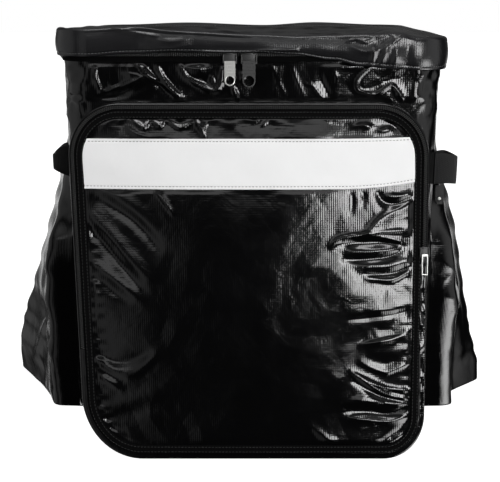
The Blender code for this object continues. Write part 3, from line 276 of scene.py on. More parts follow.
# Creases, in millimetres. Each is a line of points, across and up in turn, then its breadth, its
# rise out of the face, its lean to one side, and how sharp its crest is, from 0 round to 1 sharp.
PANEL_CREASES = (
    ((78.3, 214, 83.2, 218.7, 93.2, 221.5, 105.1, 223.3, 116.1, 225.1), 3, 2.4, -0.3, 0.6),
    ((116.1, 225.1, 132.1, 226.8, 156.2, 227.3), 2.2, 1, 0, 0.6),
    ((118.1, 223.1, 133.2, 220, 151.3, 215.8), 2.6, 1.8, -0.2, 0.6),
    ((91.2, 215.8, 109.2, 215.5, 132.2, 215.2, 147.3, 212.9), 4.6, -3.2, 0, 0.15),
    ((96.2, 207, 117.2, 207.7, 146.3, 210.1), 4, 2.2, 0, 0.2),
    ((92.3, 199.3, 112.2, 199, 135.3, 201.5, 149.3, 208.1), 3.2, -2, 0, 0.3),
    ((111.3, 193.2, 132.3, 192.8, 149.4, 196.4, 163.5, 201.9), 5, 1.6, -0.2, 0.25),
    ((113.3, 185.4, 137.4, 185, 159.5, 192.3), 3.4, -1.6, 0, 0.25),
    ((113.3, 181.5, 139.5, 179.1, 158.6, 188.4), 2.6, 1.4, 0.3, 0.5),
    ((114.1, 225.1, 127, 238.4, 144, 247.9, 164, 258.2), 8, 2.6, -0.6, 0.5),
    ((124.9, 262.5, 132, 253.8, 147, 252.6, 164, 260.1), 3.4, -2, 0, 0.3),
    ((130.9, 260.6, 147, 260.4, 164, 263), 2.6, 1.2, 0, 0.4),
    ((97, 264.7, 99.1, 257, 98.1, 243.6), 3, -0.7, 0, 0.3),
    ((109, 265.6, 111, 258.8, 110, 251.2), 2.6, -0.7, 0, 0.3),
    ((113.4, 172.8, 127.4, 173.5, 144.6, 170.2), 6, -0.7, 0, 0.1),
    ((97.6, 140.8, 127.7, 143.2, 162, 148.2), 2.6, -1.1, 0.2, 0.5),
    ((100.5, 146.6, 122.6, 149.2, 160.9, 154.1), 5, 0.7, 0, 0.2),
    ((109.8, 116, 127.9, 119.6, 142, 122.2, 153.1, 125.9), 3.4, 2, -0.4, 0.5),
    ((113.9, 108, 132, 109.6, 151.2, 112.1), 8, 1, 0, 0.1),
    ((108.9, 98.2, 120.1, 93, 132.2, 88.8, 139.2, 89.7, 160.4, 98.1), 3.2, 1.7, 0.4, 0.5),
    ((99, 89.4, 112.1, 80.3, 125.3, 71.1, 140.5, 64.8, 157.7, 61.5), 2.4, 1.7, 0.2, 0.6),
    ((104, 87.4, 120.2, 79.1, 136.4, 72.8, 160.7, 70.3), 2.4, 1.6, -0.2, 0.6),
    ((101.1, 80.5, 118.3, 70.2, 134.5, 62.9, 160.8, 58.4), 2.6, -1.6, 0, 0.4),
    ((93.2, 59.5, 110.3, 61.3, 132.5, 59, 153.7, 56.6), 4.6, 2.8, 0.2, 0.2),
    ((95.3, 50.5, 114.4, 49.2, 136.7, 46.9, 154.8, 52.6), 4.2, -2.6, 0, 0.2),
    ((98.4, 44.4, 114.5, 43.2, 136.7, 40.9, 150.8, 43.7), 2.8, 2.2, -0.5, 0.4),
    ((78.6, 10.9, 100.9, 3.6, 129.1, 2.6, 147.2, 10.6), 22, 4.2, 0.2, 0.1),
    ((60.3, 34.6, 78.5, 21.2, 94.7, 8.8), 5, 1.6, -0.1, 0.3),
    ((122.9, 16.8, 141, 24.8, 157, 38.6), 4.5, -1.6, 0, 0.3),
    ((-152.9, 269, -134.9, 259.6, -115, 246.3, -93.2, 226.4), 8, 1.9, 0.2, 0.15),
    ((-155, 260.3, -135, 249, -114.1, 234.8, -93.2, 210.9), 6.5, -1.9, 0, 0.15),
    ((-167.1, 243.7, -153.1, 234.2, -139.2, 219.9, -122.3, 200.8, -104.3, 183.7), 7.5, 2.3, 0.25,
      0.2),
    ((-167.3, 230.1, -151.2, 217.8, -133.3, 196.8, -110.4, 170.9), 6.5, -2.1, 0, 0.15),
    ((-166.5, 199, -145.5, 185.8, -129.4, 174.4, -111.5, 161.1), 6, 1.6, 0.2, 0.25),
    ((-165.6, 188.3, -145.6, 174.1, -125.5, 159.9), 5.5, -1.2, 0, 0.15),
    ((-156.3, 108, -138.1, 99.6, -120, 100.9, -103.9, 107.2), 5, -1.8, 0, 0.2),
    ((-157.3, 102, -140.3, 90.6, -118.1, 88.1, -95.8, 107.3), 5.5, 1.8, 0.2, 0.3),
    ((-155.5, 87.3, -144.4, 79.6, -132.4, 71.9), 4, 1.6, 0.2, 0.35),
    ((-154.4, 94.2, -142.3, 85.6, -130.3, 80.9), 3.6, -1.2, 0, 0.3),
    ((-152.8, 50.6, -127.5, 59, -92.1, 69.6), 8, 1.2, 0, 0.1),
    ((-155, 35.6, -132.6, 44.9, -102.3, 51.4), 7, -1, 0, 0.1),
    ((-95.1, 265.7, -88.1, 257.2, -79.2, 244.8), 2.2, 1.4, 0.3, 0.6),
    ((-164.5, 325.7, -152.6, 332.5, -141.6, 336.3, -126.7, 337.3), 2.4, 2, -0.3, 0.7),
    ((-131.7, 332.5, -126.7, 337.3, -123.8, 340.2), 2, 1.4, 0, 0.6),
    ((-124.8, 336.3, -114.9, 331.6, -106.9, 326.4, -102, 332.6), 2.2, 2.2, 0.3, 0.7),
    ((-119.8, 340.6, -112.9, 336.4, -104.9, 332.6), 1.8, 1.4, 0, 0.6),
    ((-100, 332.6, -95, 331.6, -91.1, 328.8, -86.1, 334.5), 2, 1.9, 0, 0.7),
    ((-85.1, 334, -78.2, 329.7, -70.3, 326.4, -60.4, 331.2), 2.2, 2.1, 0.2, 0.7),
    ((-58.4, 340.2, -54.4, 333.6, -50.5, 324.1), 2.2, 2, 0, 0.7),
    ((-57.4, 339.7, -52.5, 340.7, -42.6, 334, -33.7, 336.4), 2.2, 2, 0, 0.7),
    ((-32.7, 338.3, -21.8, 334.5, -9.9, 338.3), 4.5, 1.6, -0.3, 0.4),
    ((-11.9, 340.2, -5, 335.5, 3.9, 333.6, 9.9, 338.3), 2.2, 1.7, 0, 0.6),
    ((9.9, 328.8, 15.8, 333.6, 21.7, 336.4), 2.2, 1.4, 0, 0.6),
    ((21.7, 336.4, 29.7, 339.3, 37.6, 340.2), 2.6, 1.3, 0, 0.5),
    ((35.6, 341.2, 57.4, 340.7, 82.1, 340.7, 104.9, 341.1, 122.7, 341.6), 2.6, 2.2, -0.2, 0.5),
    ((47.5, 334.5, 65.3, 337.3, 85.1, 334.5, 99, 337.3), 2.4, 1, 0, 0.4),
    ((100.9, 326.8, 108.9, 328.7, 118.8, 326.8), 3.4, 1.3, 0, 0.3),
    ((124.8, 322.9, 132.7, 323.9, 138.7, 326.7), 3, 1.2, 0, 0.4),
    ((-122.8, 325.8, -112.9, 320.1, -101, 317.3), 3, 0.8, 0, 0.4),
    ((-47.5, 317.4, -48.5, 325, -45.5, 331.7), 2.4, 1, 0, 0.5),
)
STRIP_CREASES = (
    ((-193.4, 386.6, -193.4, 370.4, -193.4, 354.1, -193.4, 337.7), 3.2, 2.6, 0, 0.35),
    ((-193.4, 378.5, -193.4, 358.2, -193.4, 335.6), 3, -1.8, 0, 0.3),
    ((-193.4, 329.4, -193.4, 319, -193.4, 306.5), 3.4, 1.6, 0, 0.4),
    ((-164, 384.4, -166.7, 373.5, -172.9, 362.1), 3, 2, 0.3, 0.4),
    ((-175, 379.9, -179.8, 369.6, -178.7, 359.7), 3, -1.5, 0, 0.3),
    ((-193.4, 356.2, -175, 358.5, -167.7, 358.5), 2, 1.6, 0, 0.6),
    ((-175, 358, -167.2, 350.5, -161.4, 342.7), 2.2, 1.7, 0, 0.6),
    ((-193.4, 354.1, -174.5, 346.9, -161.4, 338.7), 1.8, 1.5, 0.2, 0.7),
    ((-156.2, 384.6, -155.7, 372.8, -151.2, 360), 3, 1.8, -0.3, 0.4),
    ((-151.2, 359, -143.1, 361, -125.9, 366.9, -107.7, 373.8), 3, 3.2, -0.35, 0.65),
    ((-156.7, 352.9, -140.4, 354, -122.2, 359, -106, 364.9), 5, -2.2, 0, 0.2),
    ((-117.2, 389.6, -111.4, 384.7, -104.6, 376.8, -89.9, 366.9, -72.2, 353), 3, 3.4, 0.3, 0.65),
    ((-127.5, 377.8, -118.6, 376.3, -109.7, 374.3), 2.4, 1.5, 0, 0.5),
    ((-101.5, 380.7, -93.9, 368.9, -84.2, 357), 4.5, -2, 0, 0.2),
    ((-94.4, 386.6, -91.6, 378.8, -83.9, 366.9, -73.2, 356), 2.8, 2.2, -0.3, 0.6),
    ((-71.6, 386.6, -67.7, 378.8, -61.9, 371.9, -44, 362, -36, 361, -31, 368.9, -29.9, 380.7), 2.8,
      3, -0.3, 0.6),
    ((-67.6, 384.7, -55.7, 380.7, -45.8, 380.7), 5, 1.4, 0, 0.2),
    ((-40.9, 375.8, -38, 368.9, -34, 362), 1.8, 1.6, 0, 0.6),
    ((-51.9, 372.9, -45.9, 368.9, -40, 366.9), 4, -1.6, 0, 0.2),
    ((-19, 363.9, -16, 357, -13.5, 350), 1.8, 2.4, 0, 0.6),
    ((-11, 378.8, -9, 374.8, -11, 370.9), 1.8, 1.6, 0, 0.6),
    ((19.9, 384.7, 24, 370.9, 23.1, 355), 3, 0.6, 0.2, 0.4),
    ((28.8, 382.7, 28, 368.9, 34.1, 356), 2.4, 0.5, 0, 0.4),
    ((39.8, 384.7, 43.9, 372.9, 50.1, 359, 53.2, 352), 2.6, 0.6, 0, 0.5),
    ((54, 366.9, 61, 364.9, 66.1, 359, 71.3, 352), 1.3, 0.9, 0, 0.7),
    ((67.7, 378.8, 69.9, 368.9, 78.2, 355), 4, -1.6, 0, 0.2),
    ((81.7, 378.8, 84.8, 372.9, 84, 364.9), 2.6, 0.9, 0, 0.35),
    ((121.2, 385.6, 113.5, 380.7, 106.7, 373.8, 104.4, 366.9, 108.1, 360, 124.3, 357, 136, 363.9,
      141, 364.9, 147.3, 358, 154.1, 345.9), 1.5, 2.2, 0.2, 0.7),
    ((112, 364.9, 123.8, 370.9, 137.5, 376.8, 149.2, 381.7), 2, 0.3, 0.2, 0.5),
    ((118.1, 362, 129.9, 366.9, 143.7, 371.9, 159.9, 376.7), 5, -0.9, 0, 0.2),
    ((140.2, 359, 144.6, 351, 148.9, 343), 3, -1.4, 0, 0.3),
    ((163, 380.5, 166.1, 368.5, 163, 354.7, 168.8, 340.3), 3.4, 1, 0.2, 0.4),
    ((175, 378, 175, 362, 172.9, 346.1), 3, -1.4, 0, 0.3),
    ((193.4, 364.3, 193.4, 348, 193.4, 325.3), 2.8, 2.2, 0, 0.45),
    ((161.9, 338.7, 168.8, 343.3, 178.2, 347.6), 2, 1.4, 0, 0.6),
    ((157.8, 347.9, 165.6, 352.6, 175.6, 355.9), 2, 1, 0, 0.5),
    ((85.4, 388.6, 99.4, 384.7, 113.2, 388.6), 4, 1.2, 0, 0.3),
)
LID_CREASES = (
    ((-136.7, 422.8, -121.3, 418.9, -107.7, 416.1, -90.1, 414.2), 2.4, 1.8, 0.2, 0.6),
    ((-129.8, 425.1, -102.6, 422.3, -82.1, 419.9, -64.6, 418), 2.4, 1.8, 0.2, 0.6),
    ((-99.9, 412.3, -87.3, 409.4, -74.5, 409.4, -60.8, 412.3), 3.4, 1.5, 0, 0.4),
    ((-107, 405.5, -94.3, 402.6, -80.6, 402.2, -62.8, 405.5), 3.4, 1.5, 0, 0.4),
    ((-64.6, 418, -36.2, 417, -2, 415.6, 37.2, 414.2), 2.6, 1, 0, 0.5),
    ((-48.2, 398.8, -25.6, 398.8, -2, 399.3, 22.6, 400.7, 44.2, 401.1), 1.6, 2, 0, 0.6),
    ((94.1, 409.4, 102.8, 411.3, 111.7, 408.4, 117.5, 411.3), 2, 1.7, 0, 0.6),
    ((109.7, 410.3, 121.4, 413.2, 134.9, 417), 2.2, 1.8, 0.2, 0.6),
    ((137.3, 406.5, 142, 412.3, 147.7, 416.1, 154.5, 417), 2.2, 1.8, 0, 0.6),
    ((98.2, 403.6, 110.1, 399.8, 123.8, 400.7, 133.5, 404.6), 3, 1.3, 0, 0.5),
    ((117.4, 387.2, 120, 396.9, 117.7, 405.5), 3.6, 1.5, 0.2, 0.4),
    ((126.3, 387.2, 129.9, 395.9, 133.4, 406.5), 3.6, 2, -0.2, 0.45),
    ((139.2, 385.2, 141.7, 394.9, 141.3, 404.6), 4.4, 1.8, 0, 0.35),
    ((154, 385.2, 152.5, 395.9, 155, 406.5), 5, -1.4, 0, 0.2),
    ((56.9, 406.5, 86.5, 400.7, 118, 398.8), 7, 1, 0, 0.1),
)
# Gusset creases run along the depth from the front seam, and up.
LEFT_GUSSET_CREASES = (
    ((8, 40, 20, 70, 34, 88), 5, 3.4, 0.2, 0.55),
    ((10, 150, 18, 180, 16, 215), 4.5, 3, 0.2, 0.5),
    ((34, 10, 40, 60, 34, 120), 6, -3, 0, 0.3),
    ((40, 78, 54, 62, 70, 30), 5.5, 3, 0.3, 0.5),
    ((30, 86, 42, 92, 54, 70), 4, 2.4, 0, 0.6),
    ((52, 120, 60, 150, 50, 190), 7, 2.4, 0.2, 0.4),
    ((150, 30, 160, 110, 166, 220), 18, -4, 0, 0.25),
    ((190, 10, 205, 90, 200, 170), 14, 3.8, 0, 0.4),
    ((130, 60, 170, 75, 215, 62), 10, 2.4, 0, 0.4),
    ((225, 20, 232, 120, 226, 240), 9, -3.6, 0, 0.3),
)
RIGHT_GUSSET_CREASES = (
    ((3, 176, 10, 170, 20, 160), 4, 4, 0, 0.65),
    ((4, 140, 10, 150, 18, 156), 3.6, 3, 0, 0.65),
    ((6, 90, 9, 120, 8, 140), 4, -3, 0, 0.45),
    ((37, 20, 38, 80, 33, 150), 4, 2.8, 0.2, 0.5),
    ((46, 10, 48, 70, 42, 130), 4.5, -2.4, 0, 0.4),
    ((54, 30, 58, 90, 50, 160), 5, 2.6, 0.2, 0.45),
    ((20, 110, 34, 128, 46, 160), 5, 2.6, 0, 0.55),
    ((120, 10, 128, 100, 122, 200), 12, -3.6, 0, 0.25),
    ((150, 30, 160, 110, 166, 220), 18, 3.6, 0, 0.35),
    ((190, 10, 205, 90, 200, 170), 14, -4, 0, 0.35),
    ((100, 62, 150, 84, 200, 70), 10, 2.6, 0, 0.45),
    ((228, 20, 234, 120, 226, 240), 9, -3.6, 0, 0.3),
)
SIDE_CREASES = (
    ((-120, 300, -100, 330, -95, 372), 10, 2.2, 0.2, 0.3),
    ((-80, 385, -50, 350, -40, 300), 9, -2, 0, 0.3),
    ((0, 380, 20, 340, 60, 320), 10, 2, 0, 0.35),
    ((60, 385, 80, 355, 110, 330), 9, 1.8, 0, 0.3),
    ((-132, 380, -128, 340, -133, 300), 6, 1.8, 0, 0.4),
)
BACK_CREASES = (
    ((-150, 40, -100, 110, -60, 200), 14, 2.4, 0, 0.2),
    ((150, 50, 90, 130, 50, 230), 14, 2.2, 0, 0.2),
    ((-20, 60, 0, 140, 30, 220), 12, -1.8, 0, 0.2),
)


class CoatedClothSettings(bpy.types.PropertyGroup):
    """Coated cloth of the body, lid, pocket and gussets."""

    colour: bpy.props.FloatVectorProperty(
        name="Colour", description="Colour of the coating", subtype="COLOR", size=3,
        default=(0.0020, 0.0020, 0.0022), min=0.0, max=1.0
    )
    roughness: bpy.props.FloatProperty(
        name="Roughness", description="How matt the coating is", subtype="FACTOR",
        default=0.11, min=0.0, max=1.0
    )
    grid_pitch: bpy.props.FloatProperty(
        name="Grid pitch", description="Spacing of the yarns that show through the coating",
        subtype="DISTANCE", default=0.0022, min=0.0005, max=0.01
    )
    grid_depth: bpy.props.FloatProperty(
        name="Grid depth", description="Height of the yarns under the coating",
        subtype="DISTANCE", default=0.00004, min=0.0, max=0.001
    )
    crease_strength: bpy.props.FloatProperty(
        name="Crease strength", description="Scale of every crease", subtype="FACTOR",
        default=1.0, min=0.0, max=2.0
    )


class TrimSettings(bpy.types.PropertyGroup):
    """Stitches, webbing, zippers and the white band."""

    stitch_length: bpy.props.FloatProperty(
        name="Stitch length", description="Length of one stitch", subtype="DISTANCE",
        default=0.0024, min=0.0005, max=0.01
    )
    stitch_pitch: bpy.props.FloatProperty(
        name="Stitch pitch", description="Distance from one stitch to the next",
        subtype="DISTANCE", default=0.0034, min=0.001, max=0.02
    )
    thread: bpy.props.FloatProperty(
        name="Thread", description="Thickness of the sewing thread", subtype="DISTANCE",
        default=0.0006, min=0.0002, max=0.002
    )
    tooth_pitch: bpy.props.FloatProperty(
        name="Coil pitch", description="Spacing of the zipper's coil", subtype="DISTANCE",
        default=0.0019, min=0.0005, max=0.01
    )
    webbing_colour: bpy.props.FloatVectorProperty(
        name="Webbing colour", description="Colour of the straps, tape and binding",
        subtype="COLOR", size=3, default=(0.0018, 0.0018, 0.0019), min=0.0, max=1.0
    )
    band_colour: bpy.props.FloatVectorProperty(
        name="Band colour", description="Colour of the reflective band", subtype="COLOR", size=3,
        default=(0.90, 0.90, 0.90), min=0.0, max=1.0
    )


class StageSettings(bpy.types.PropertyGroup):
    """Floor, lights and camera."""

    key_power: bpy.props.FloatProperty(
        name="Key power", description="Power of the softbox at the right", unit="POWER",
        default=10.0, min=0.0, max=500.0
    )
    top_power: bpy.props.FloatProperty(
        name="Top power", description="Power of the light above", unit="POWER",
        default=7.0, min=0.0, max=500.0
    )
    side_light: bpy.props.FloatProperty(
        name="Side light", description="Brightness of the pale walls at both sides", default=0.7,
        min=0.0, max=10.0
    )
    left_light: bpy.props.FloatProperty(
        name="Left light", description="Brightness of the dim wall at the left front", default=0.34,
        min=0.0, max=10.0
    )
    low_light: bpy.props.FloatProperty(
        name="Low right light", description="Strength of the low window at the right front",
        default=8.0, min=0.0, max=30.0
    )
    high_light: bpy.props.FloatProperty(
        name="High light", description="Strength of the high window in front", default=1.3,
        min=0.0, max=10.0
    )
    lens: bpy.props.FloatProperty(
        name="Lens", description="Focal length of the camera", subtype="DISTANCE_CAMERA",
        default=66.8, min=10.0, max=300.0
    )


# Numbers and fields

def eased(low, high, value):
    """Smooth step from 0 at low to 1 at high."""
    share = np.clip((value - low) / (high - low), 0.0, 1.0)
    return share * share * (3 - 2 * share)


def bell(distance, breadth):
    """Round bump, 1 at no distance."""
    return np.exp(-((distance / breadth) ** 2))


def path_lengths(points):
    """Length along a path up to each of its points."""
    return np.concatenate(([0.0], np.cumsum(np.linalg.norm(np.diff(points, axis=0), axis=1))))


def table_column(rows, place, column):
    """Read a column of a table smoothly between its rows, at places in its first column."""
    places = np.array([row[0] for row in rows])
    values = np.array([row[column] for row in rows])
    index = np.clip(np.searchsorted(places, place, side="right") - 1, 0, len(places) - 2)
    share = np.clip((place - places[index]) / (places[index + 1] - places[index]), 0.0, 1.0)
    return values[index] + (values[index + 1] - values[index]) * share * share * (3 - 2 * share)


def smooth_line(line, steps=4):
    """Points of a smooth curve through the given ones."""
    points = [np.array(point, float) for point in line]
    last = len(points) - 1
    curve = []
    for index in range(last):
        before = points[max(index - 1, 0)]
        start = points[index]
        end = points[index + 1]
        after = points[min(index + 2, last)]
        for step in range(steps):
            t = step / steps
            curve.append(0.5 * (
                2 * start + (end - before) * t
                + (2 * before - 5 * start + 4 * end - after) * t * t
                + (3 * start - before - 3 * end + after) * t * t * t
            ))
    curve.append(points[last])
    return np.array(curve)


def crease_relief(across, up, creases, strength=1.0):
    """Relief of the creases at points of a face."""
    total = np.zeros(across.shape)
    for line, breadth, rise, lean, crest in creases:
        curve = smooth_line(np.reshape(line, (-1, 2)) / MM)
        breadth = breadth / MM
        runs = np.diff(curve, axis=0)
        lengths = np.hypot(runs[:, 0], runs[:, 1])
        starts = np.concatenate(([0.0], np.cumsum(lengths)))
        whole = starts[-1]
        reach = breadth * 3.5
        low = curve.min(axis=0) - reach
        high = curve.max(axis=0) + reach
        near = (across > low[0]) & (across < high[0]) & (up > low[1]) & (up < high[1])
        if not near.any():
            continue
        x, y = across[near], up[near]
        best = np.full(x.shape, 1e9)
        side, along = np.zeros(x.shape), np.zeros(x.shape)
        for index, (run, length) in enumerate(zip(runs, lengths)):
            away_x = x - curve[index, 0]
            away_y = y - curve[index, 1]
            share = np.clip((away_x * run[0] + away_y * run[1]) / (length * length), 0.0, 1.0)
            off_x = away_x - share * run[0]
            off_y = away_y - share * run[1]
            distance = np.hypot(off_x, off_y)
            nearer = distance < best
            turn = (run[0] * off_y - run[1] * off_x) / (length * np.maximum(distance, 1e-9))
            side = np.where(nearer, turn, side)
            along = np.where(nearer, (starts[index] + share * length) / whole, along)
            best = np.where(nearer, distance, best)
        spread = breadth * (1 + lean * side)
        rounded = bell(best, spread)
        sharp = np.exp(-(np.sqrt(best * best + 2.5e-7) - 0.0005) / (spread * 0.8))
        taper = np.sin(math.pi * (0.06 + 0.88 * along)) ** 0.6
        total[near] += rise / MM * taper * (rounded * (1 - crest) + sharp * crest)
    return total * strength


def field_cells(x, y, seed):
    """Random values at the corners of each point's cell, and the point's shares across the cell."""
    column, row = np.floor(x).astype(int), np.floor(y).astype(int)
    values = np.random.default_rng(seed).uniform(-1, 1, (256, 256))
    near, right, top, far = [
        values[(row + above) % 256, (column + beside) % 256]
        for above in (0, 1) for beside in (0, 1)
    ]
    return near, right, top, far, x - column, y - row


def soft_field(across, up, cell, seed):
    """Smooth random field from -1 to 1, with features about one cell wide."""
    near, right, top, far, fx, fy = field_cells(across / cell + 40.0, up / cell + 40.0, seed)
    fx = fx * fx * fx * (fx * (fx * 6 - 15) + 10)
    fy = fy * fy * fy * (fy * (fy * 6 - 15) + 10)
    return (near * (1 - fx) + right * fx) * (1 - fy) + (top * (1 - fx) + far * fx) * fy


def facet_field(across, up, cell, seed):
    """Flat facets with sharp creases between them, from -1 to 1, as coated cloth crumples."""
    bent = across + 0.4 * cell * soft_field(across, up, cell * 1.8, seed + 100)
    raised = up + 0.4 * cell * soft_field(across, up, cell * 1.8, seed + 200)
    y = raised / (cell * 0.866) + 60.0
    near, right, top, far, fx, fy = field_cells(bent / cell - 0.5 * y + 90.0, y, seed)
    first = near + fx * (right - near) + fy * (top - near)
    second = far + (1 - fx) * (top - far) + (1 - fy) * (right - far)
    return np.where(fx + fy < 1, first, second)


# Modelling helpers

def nothing_selected():
    """Leave edit mode and select nothing."""
    if bpy.context.object and bpy.context.object.mode != "OBJECT":
        bpy.ops.object.mode_set(mode="OBJECT")
    bpy.ops.object.select_all(action="DESELECT")


def only(piece):
    """Select one piece alone and make it active."""
    nothing_selected()
    piece.select_set(True)
    bpy.context.view_layer.objects.active = piece


def apply_modifier(piece, kind, **settings):
    """Add a modifier with its settings and apply it."""
    only(piece)
    made = piece.modifiers.new(kind.title(), kind)
    for key, value in settings.items():
        setattr(made, key, value)
    bpy.ops.object.modifier_apply(modifier=made.name)


def apply_place(piece):
    """Put a piece's place, turn and scale into its mesh."""
    only(piece)
    bpy.ops.object.transform_apply(location=True, rotation=True, scale=True)


def in_edit(piece, operation, **settings):
    """Run an edit-mode operation on a piece's whole mesh."""
    only(piece)
    bpy.ops.object.mode_set(mode="EDIT")
    bpy.ops.mesh.select_all(action="SELECT")
    operation(**settings)
    bpy.ops.object.mode_set(mode="OBJECT")


def vertex_values(mesh, kind="co"):
    """Places of a mesh's vertices, or their normals, as rows."""
    flat = np.empty(len(mesh.vertices) * 3)
    mesh.vertices.foreach_get(kind, flat)
    return flat.reshape(-1, 3)


def cloth_grid(name, columns, rows, place, closed=False):
    """Add a grid and lay it as cloth: place takes shares across and up, and gives points and UV."""
    nothing_selected()
    bpy.ops.mesh.primitive_grid_add(x_subdivisions=columns, y_subdivisions=rows, size=2)
    piece = bpy.context.object
    piece.name = name
    piece.data.name = name
    flat = vertex_values(piece.data)
    column = np.rint((flat[:, 0] + 1) / 2 * columns).astype(int)
    row = np.rint((flat[:, 1] + 1) / 2 * rows).astype(int)
    across, up = np.meshgrid(np.arange(columns + 1) / columns, np.arange(rows + 1) / rows)
    points, unwrapped = place(across, up)
    piece.data.vertices.foreach_set("co", points[row, column].astype(np.float32).ravel())
    corner = np.empty(len(piece.data.loops), int)
    piece.data.loops.foreach_get("vertex_index", corner)
    layer = piece.data.uv_layers[0]
    layer.name = "cloth"
    spread = unwrapped[row, column][corner]
    layer.data.foreach_set("uv", spread.astype(np.float32).ravel())
    piece.data.update()
    if closed:
        in_edit(piece, bpy.ops.mesh.remove_doubles, threshold=0.00001)
    return piece


def lofted(name, rows, widths, heights):
    """Cloth through rows of points, unwrapped by a length for each column and one for each row."""
    rows, widths, heights = np.array(rows), np.array(widths), np.array(heights)

    def place(u, v):
        column = np.rint(u * (len(widths) - 1)).astype(int)
        row = np.rint(v * (len(heights) - 1)).astype(int)
        return rows[row, column], np.stack((widths[column], heights[row]), axis=-1)

    return cloth_grid(name, len(widths) - 1, len(heights) - 1, place, closed=True)


def face_away(piece, centre):
    """Turn a piece's faces so that they look away from a point."""
    total = 0.0
    for face in piece.data.polygons:
        total += face.area * face.normal.dot(face.center - Vector(centre))
    if total < 0:
        in_edit(piece, bpy.ops.mesh.flip_normals)


def smooth_shading(piece, angle=None):
    """Shade a piece smooth, all over or only where its faces meet under an angle in degrees."""
    only(piece)
    if angle is None:
        bpy.ops.object.shade_smooth()
    else:
        bpy.ops.object.shade_smooth_by_angle(angle=math.radians(angle))


def dress(piece, material, body="bag", replaced=()):
    """Give a piece its material, the body it rides on and the nodes it replaces."""
    piece.data.materials.clear()
    piece.data.materials.append(material)
    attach(piece, body)
    if replaced:
        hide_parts(*replaced)
    return piece


def walk(path, step, closed=False):
    """Points at an even step along a path, with the direction there."""
    line = np.array(path, float)
    if closed:
        line = np.vstack((line, line[:1]))
    starts = path_lengths(line)
    count = max(2, int(starts[-1] / step))
    places = (np.arange(count) + 0.5) * starts[-1] / count

    def points_at(spots):
        return np.stack([np.interp(spots, starts, line[:, axis]) for axis in range(3)], axis=1)

    points = points_at(places)
    runs = points_at(places + step * 0.4) - points_at(places - step * 0.4)
    runs /= np.maximum(np.linalg.norm(runs, axis=1, keepdims=True), 1e-9)
    return points, runs


def copies(name, model, points, runs, outs):
    """Repeat a small model at many places: its X lies along the run and its Z looks out."""
    source = model.data
    count = len(source.vertices)
    local = vertex_values(source)
    faces = [tuple(face.vertices) for face in source.polygons]
    all_points = []
    all_faces = []
    for index, (point, run, out) in enumerate(zip(points, runs, outs)):
        side = np.cross(out, run)
        side /= max(np.linalg.norm(side), 1e-9)
        up = np.cross(run, side)
        all_points.append(point + local @ np.stack((run, side, up)))
        all_faces += [tuple(index * count + corner for corner in face) for face in faces]
    mesh = bpy.data.meshes.new(name)
    mesh.from_pydata(np.vstack(all_points).tolist(), [], all_faces)
    made = bpy.data.objects.new(name, mesh)
    bpy.context.scene.collection.objects.link(made)
    bpy.data.objects.remove(model, do_unlink=True)
    smooth_shading(made)
    return made


def small_bead(length, width, height, segments=6, rings=4):
    """A rounded bead, long in X, used for a stitch or a turn of the coil."""
    nothing_selected()
    bpy.ops.mesh.primitive_uv_sphere_add(segments=segments, ring_count=rings, radius=0.5)
    bead = bpy.context.object
    bpy.ops.object.mode_set(mode="EDIT")
    bpy.ops.mesh.select_all(action="SELECT")
    bpy.ops.transform.rotate(value=math.pi / 2, orient_axis="Y", center_override=(0, 0, 0))
    bpy.ops.transform.resize(value=(length, width, height))
    bpy.ops.object.mode_set(mode="OBJECT")
    return bead


def stitch_row(name, path, outs, thread=None, closed=False):
    """Sew a row of stitches along a path, each lying on the face below it."""
    trim = bpy.context.scene.backpack_trim
    points, runs = walk(path, trim.stitch_pitch, closed)
    line = np.array(path, float)
    if isinstance(outs, tuple):
        looks = np.tile(np.array(outs, float), (len(points), 1))
    else:
        places = [np.argmin(np.linalg.norm(line - point, axis=1)) for point in points]
        looks = np.array(outs)[places]
    model = small_bead(trim.stitch_length, trim.thread, trim.thread * 0.8)
    threads = copies(name, model, points, runs, looks)
    dress(threads, thread or sewing_thread())


def strap_sweep(name, path, across, width, thickness, softness=0.25, turns=10, ring=False):
    """Flat webbing or padding along a path, wide along one direction, with rounded edges."""
    line = np.array(path, float)
    runs = np.gradient(line, axis=0)
    if ring:
        runs[0] = runs[-1] = line[1] - line[-2]
    runs /= np.linalg.norm(runs, axis=1, keepdims=True)
    wide = np.array(across, float)
    outs = np.cross(runs, wide)
    outs /= np.linalg.norm(outs, axis=1, keepdims=True)
    lengths = path_lengths(line)
    halves = np.broadcast_to(np.asarray(width, float) / 2, (len(line),))
    power = 0.25 + 0.5 * softness

    def place(u, v):
        angle = 2 * math.pi * u
        index = np.rint(v * (len(line) - 1)).astype(int)
        x = np.sign(np.cos(angle)) * np.abs(np.cos(angle)) ** power * halves[index]
        z = np.sign(np.sin(angle)) * np.abs(np.sin(angle)) ** 0.5 * thickness / 2
        points = line[index] + x[..., None] * wide + z[..., None] * outs[index]
        return points, np.stack((x, lengths[index]), axis=-1)

    piece = cloth_grid(name, turns * 4, len(line) - 1, place, closed=True)
    close_mesh(piece, capped=not ring)
    smooth_shading(piece, 50)
    return piece


def close_mesh(piece, capped=True):
    """Cap the open ends of a swept piece and point its faces outwards."""
    only(piece)
    bpy.ops.object.mode_set(mode="EDIT")
    if capped:
        bpy.ops.mesh.select_mode(type="EDGE")
        bpy.ops.mesh.select_all(action="DESELECT")
        bpy.ops.mesh.select_non_manifold()
        bpy.ops.mesh.edge_face_add()
        bpy.ops.mesh.select_mode(type="VERT")
    bpy.ops.mesh.select_all(action="SELECT")
    bpy.ops.mesh.normals_make_consistent(inside=False)
    bpy.ops.object.mode_set(mode="OBJECT")


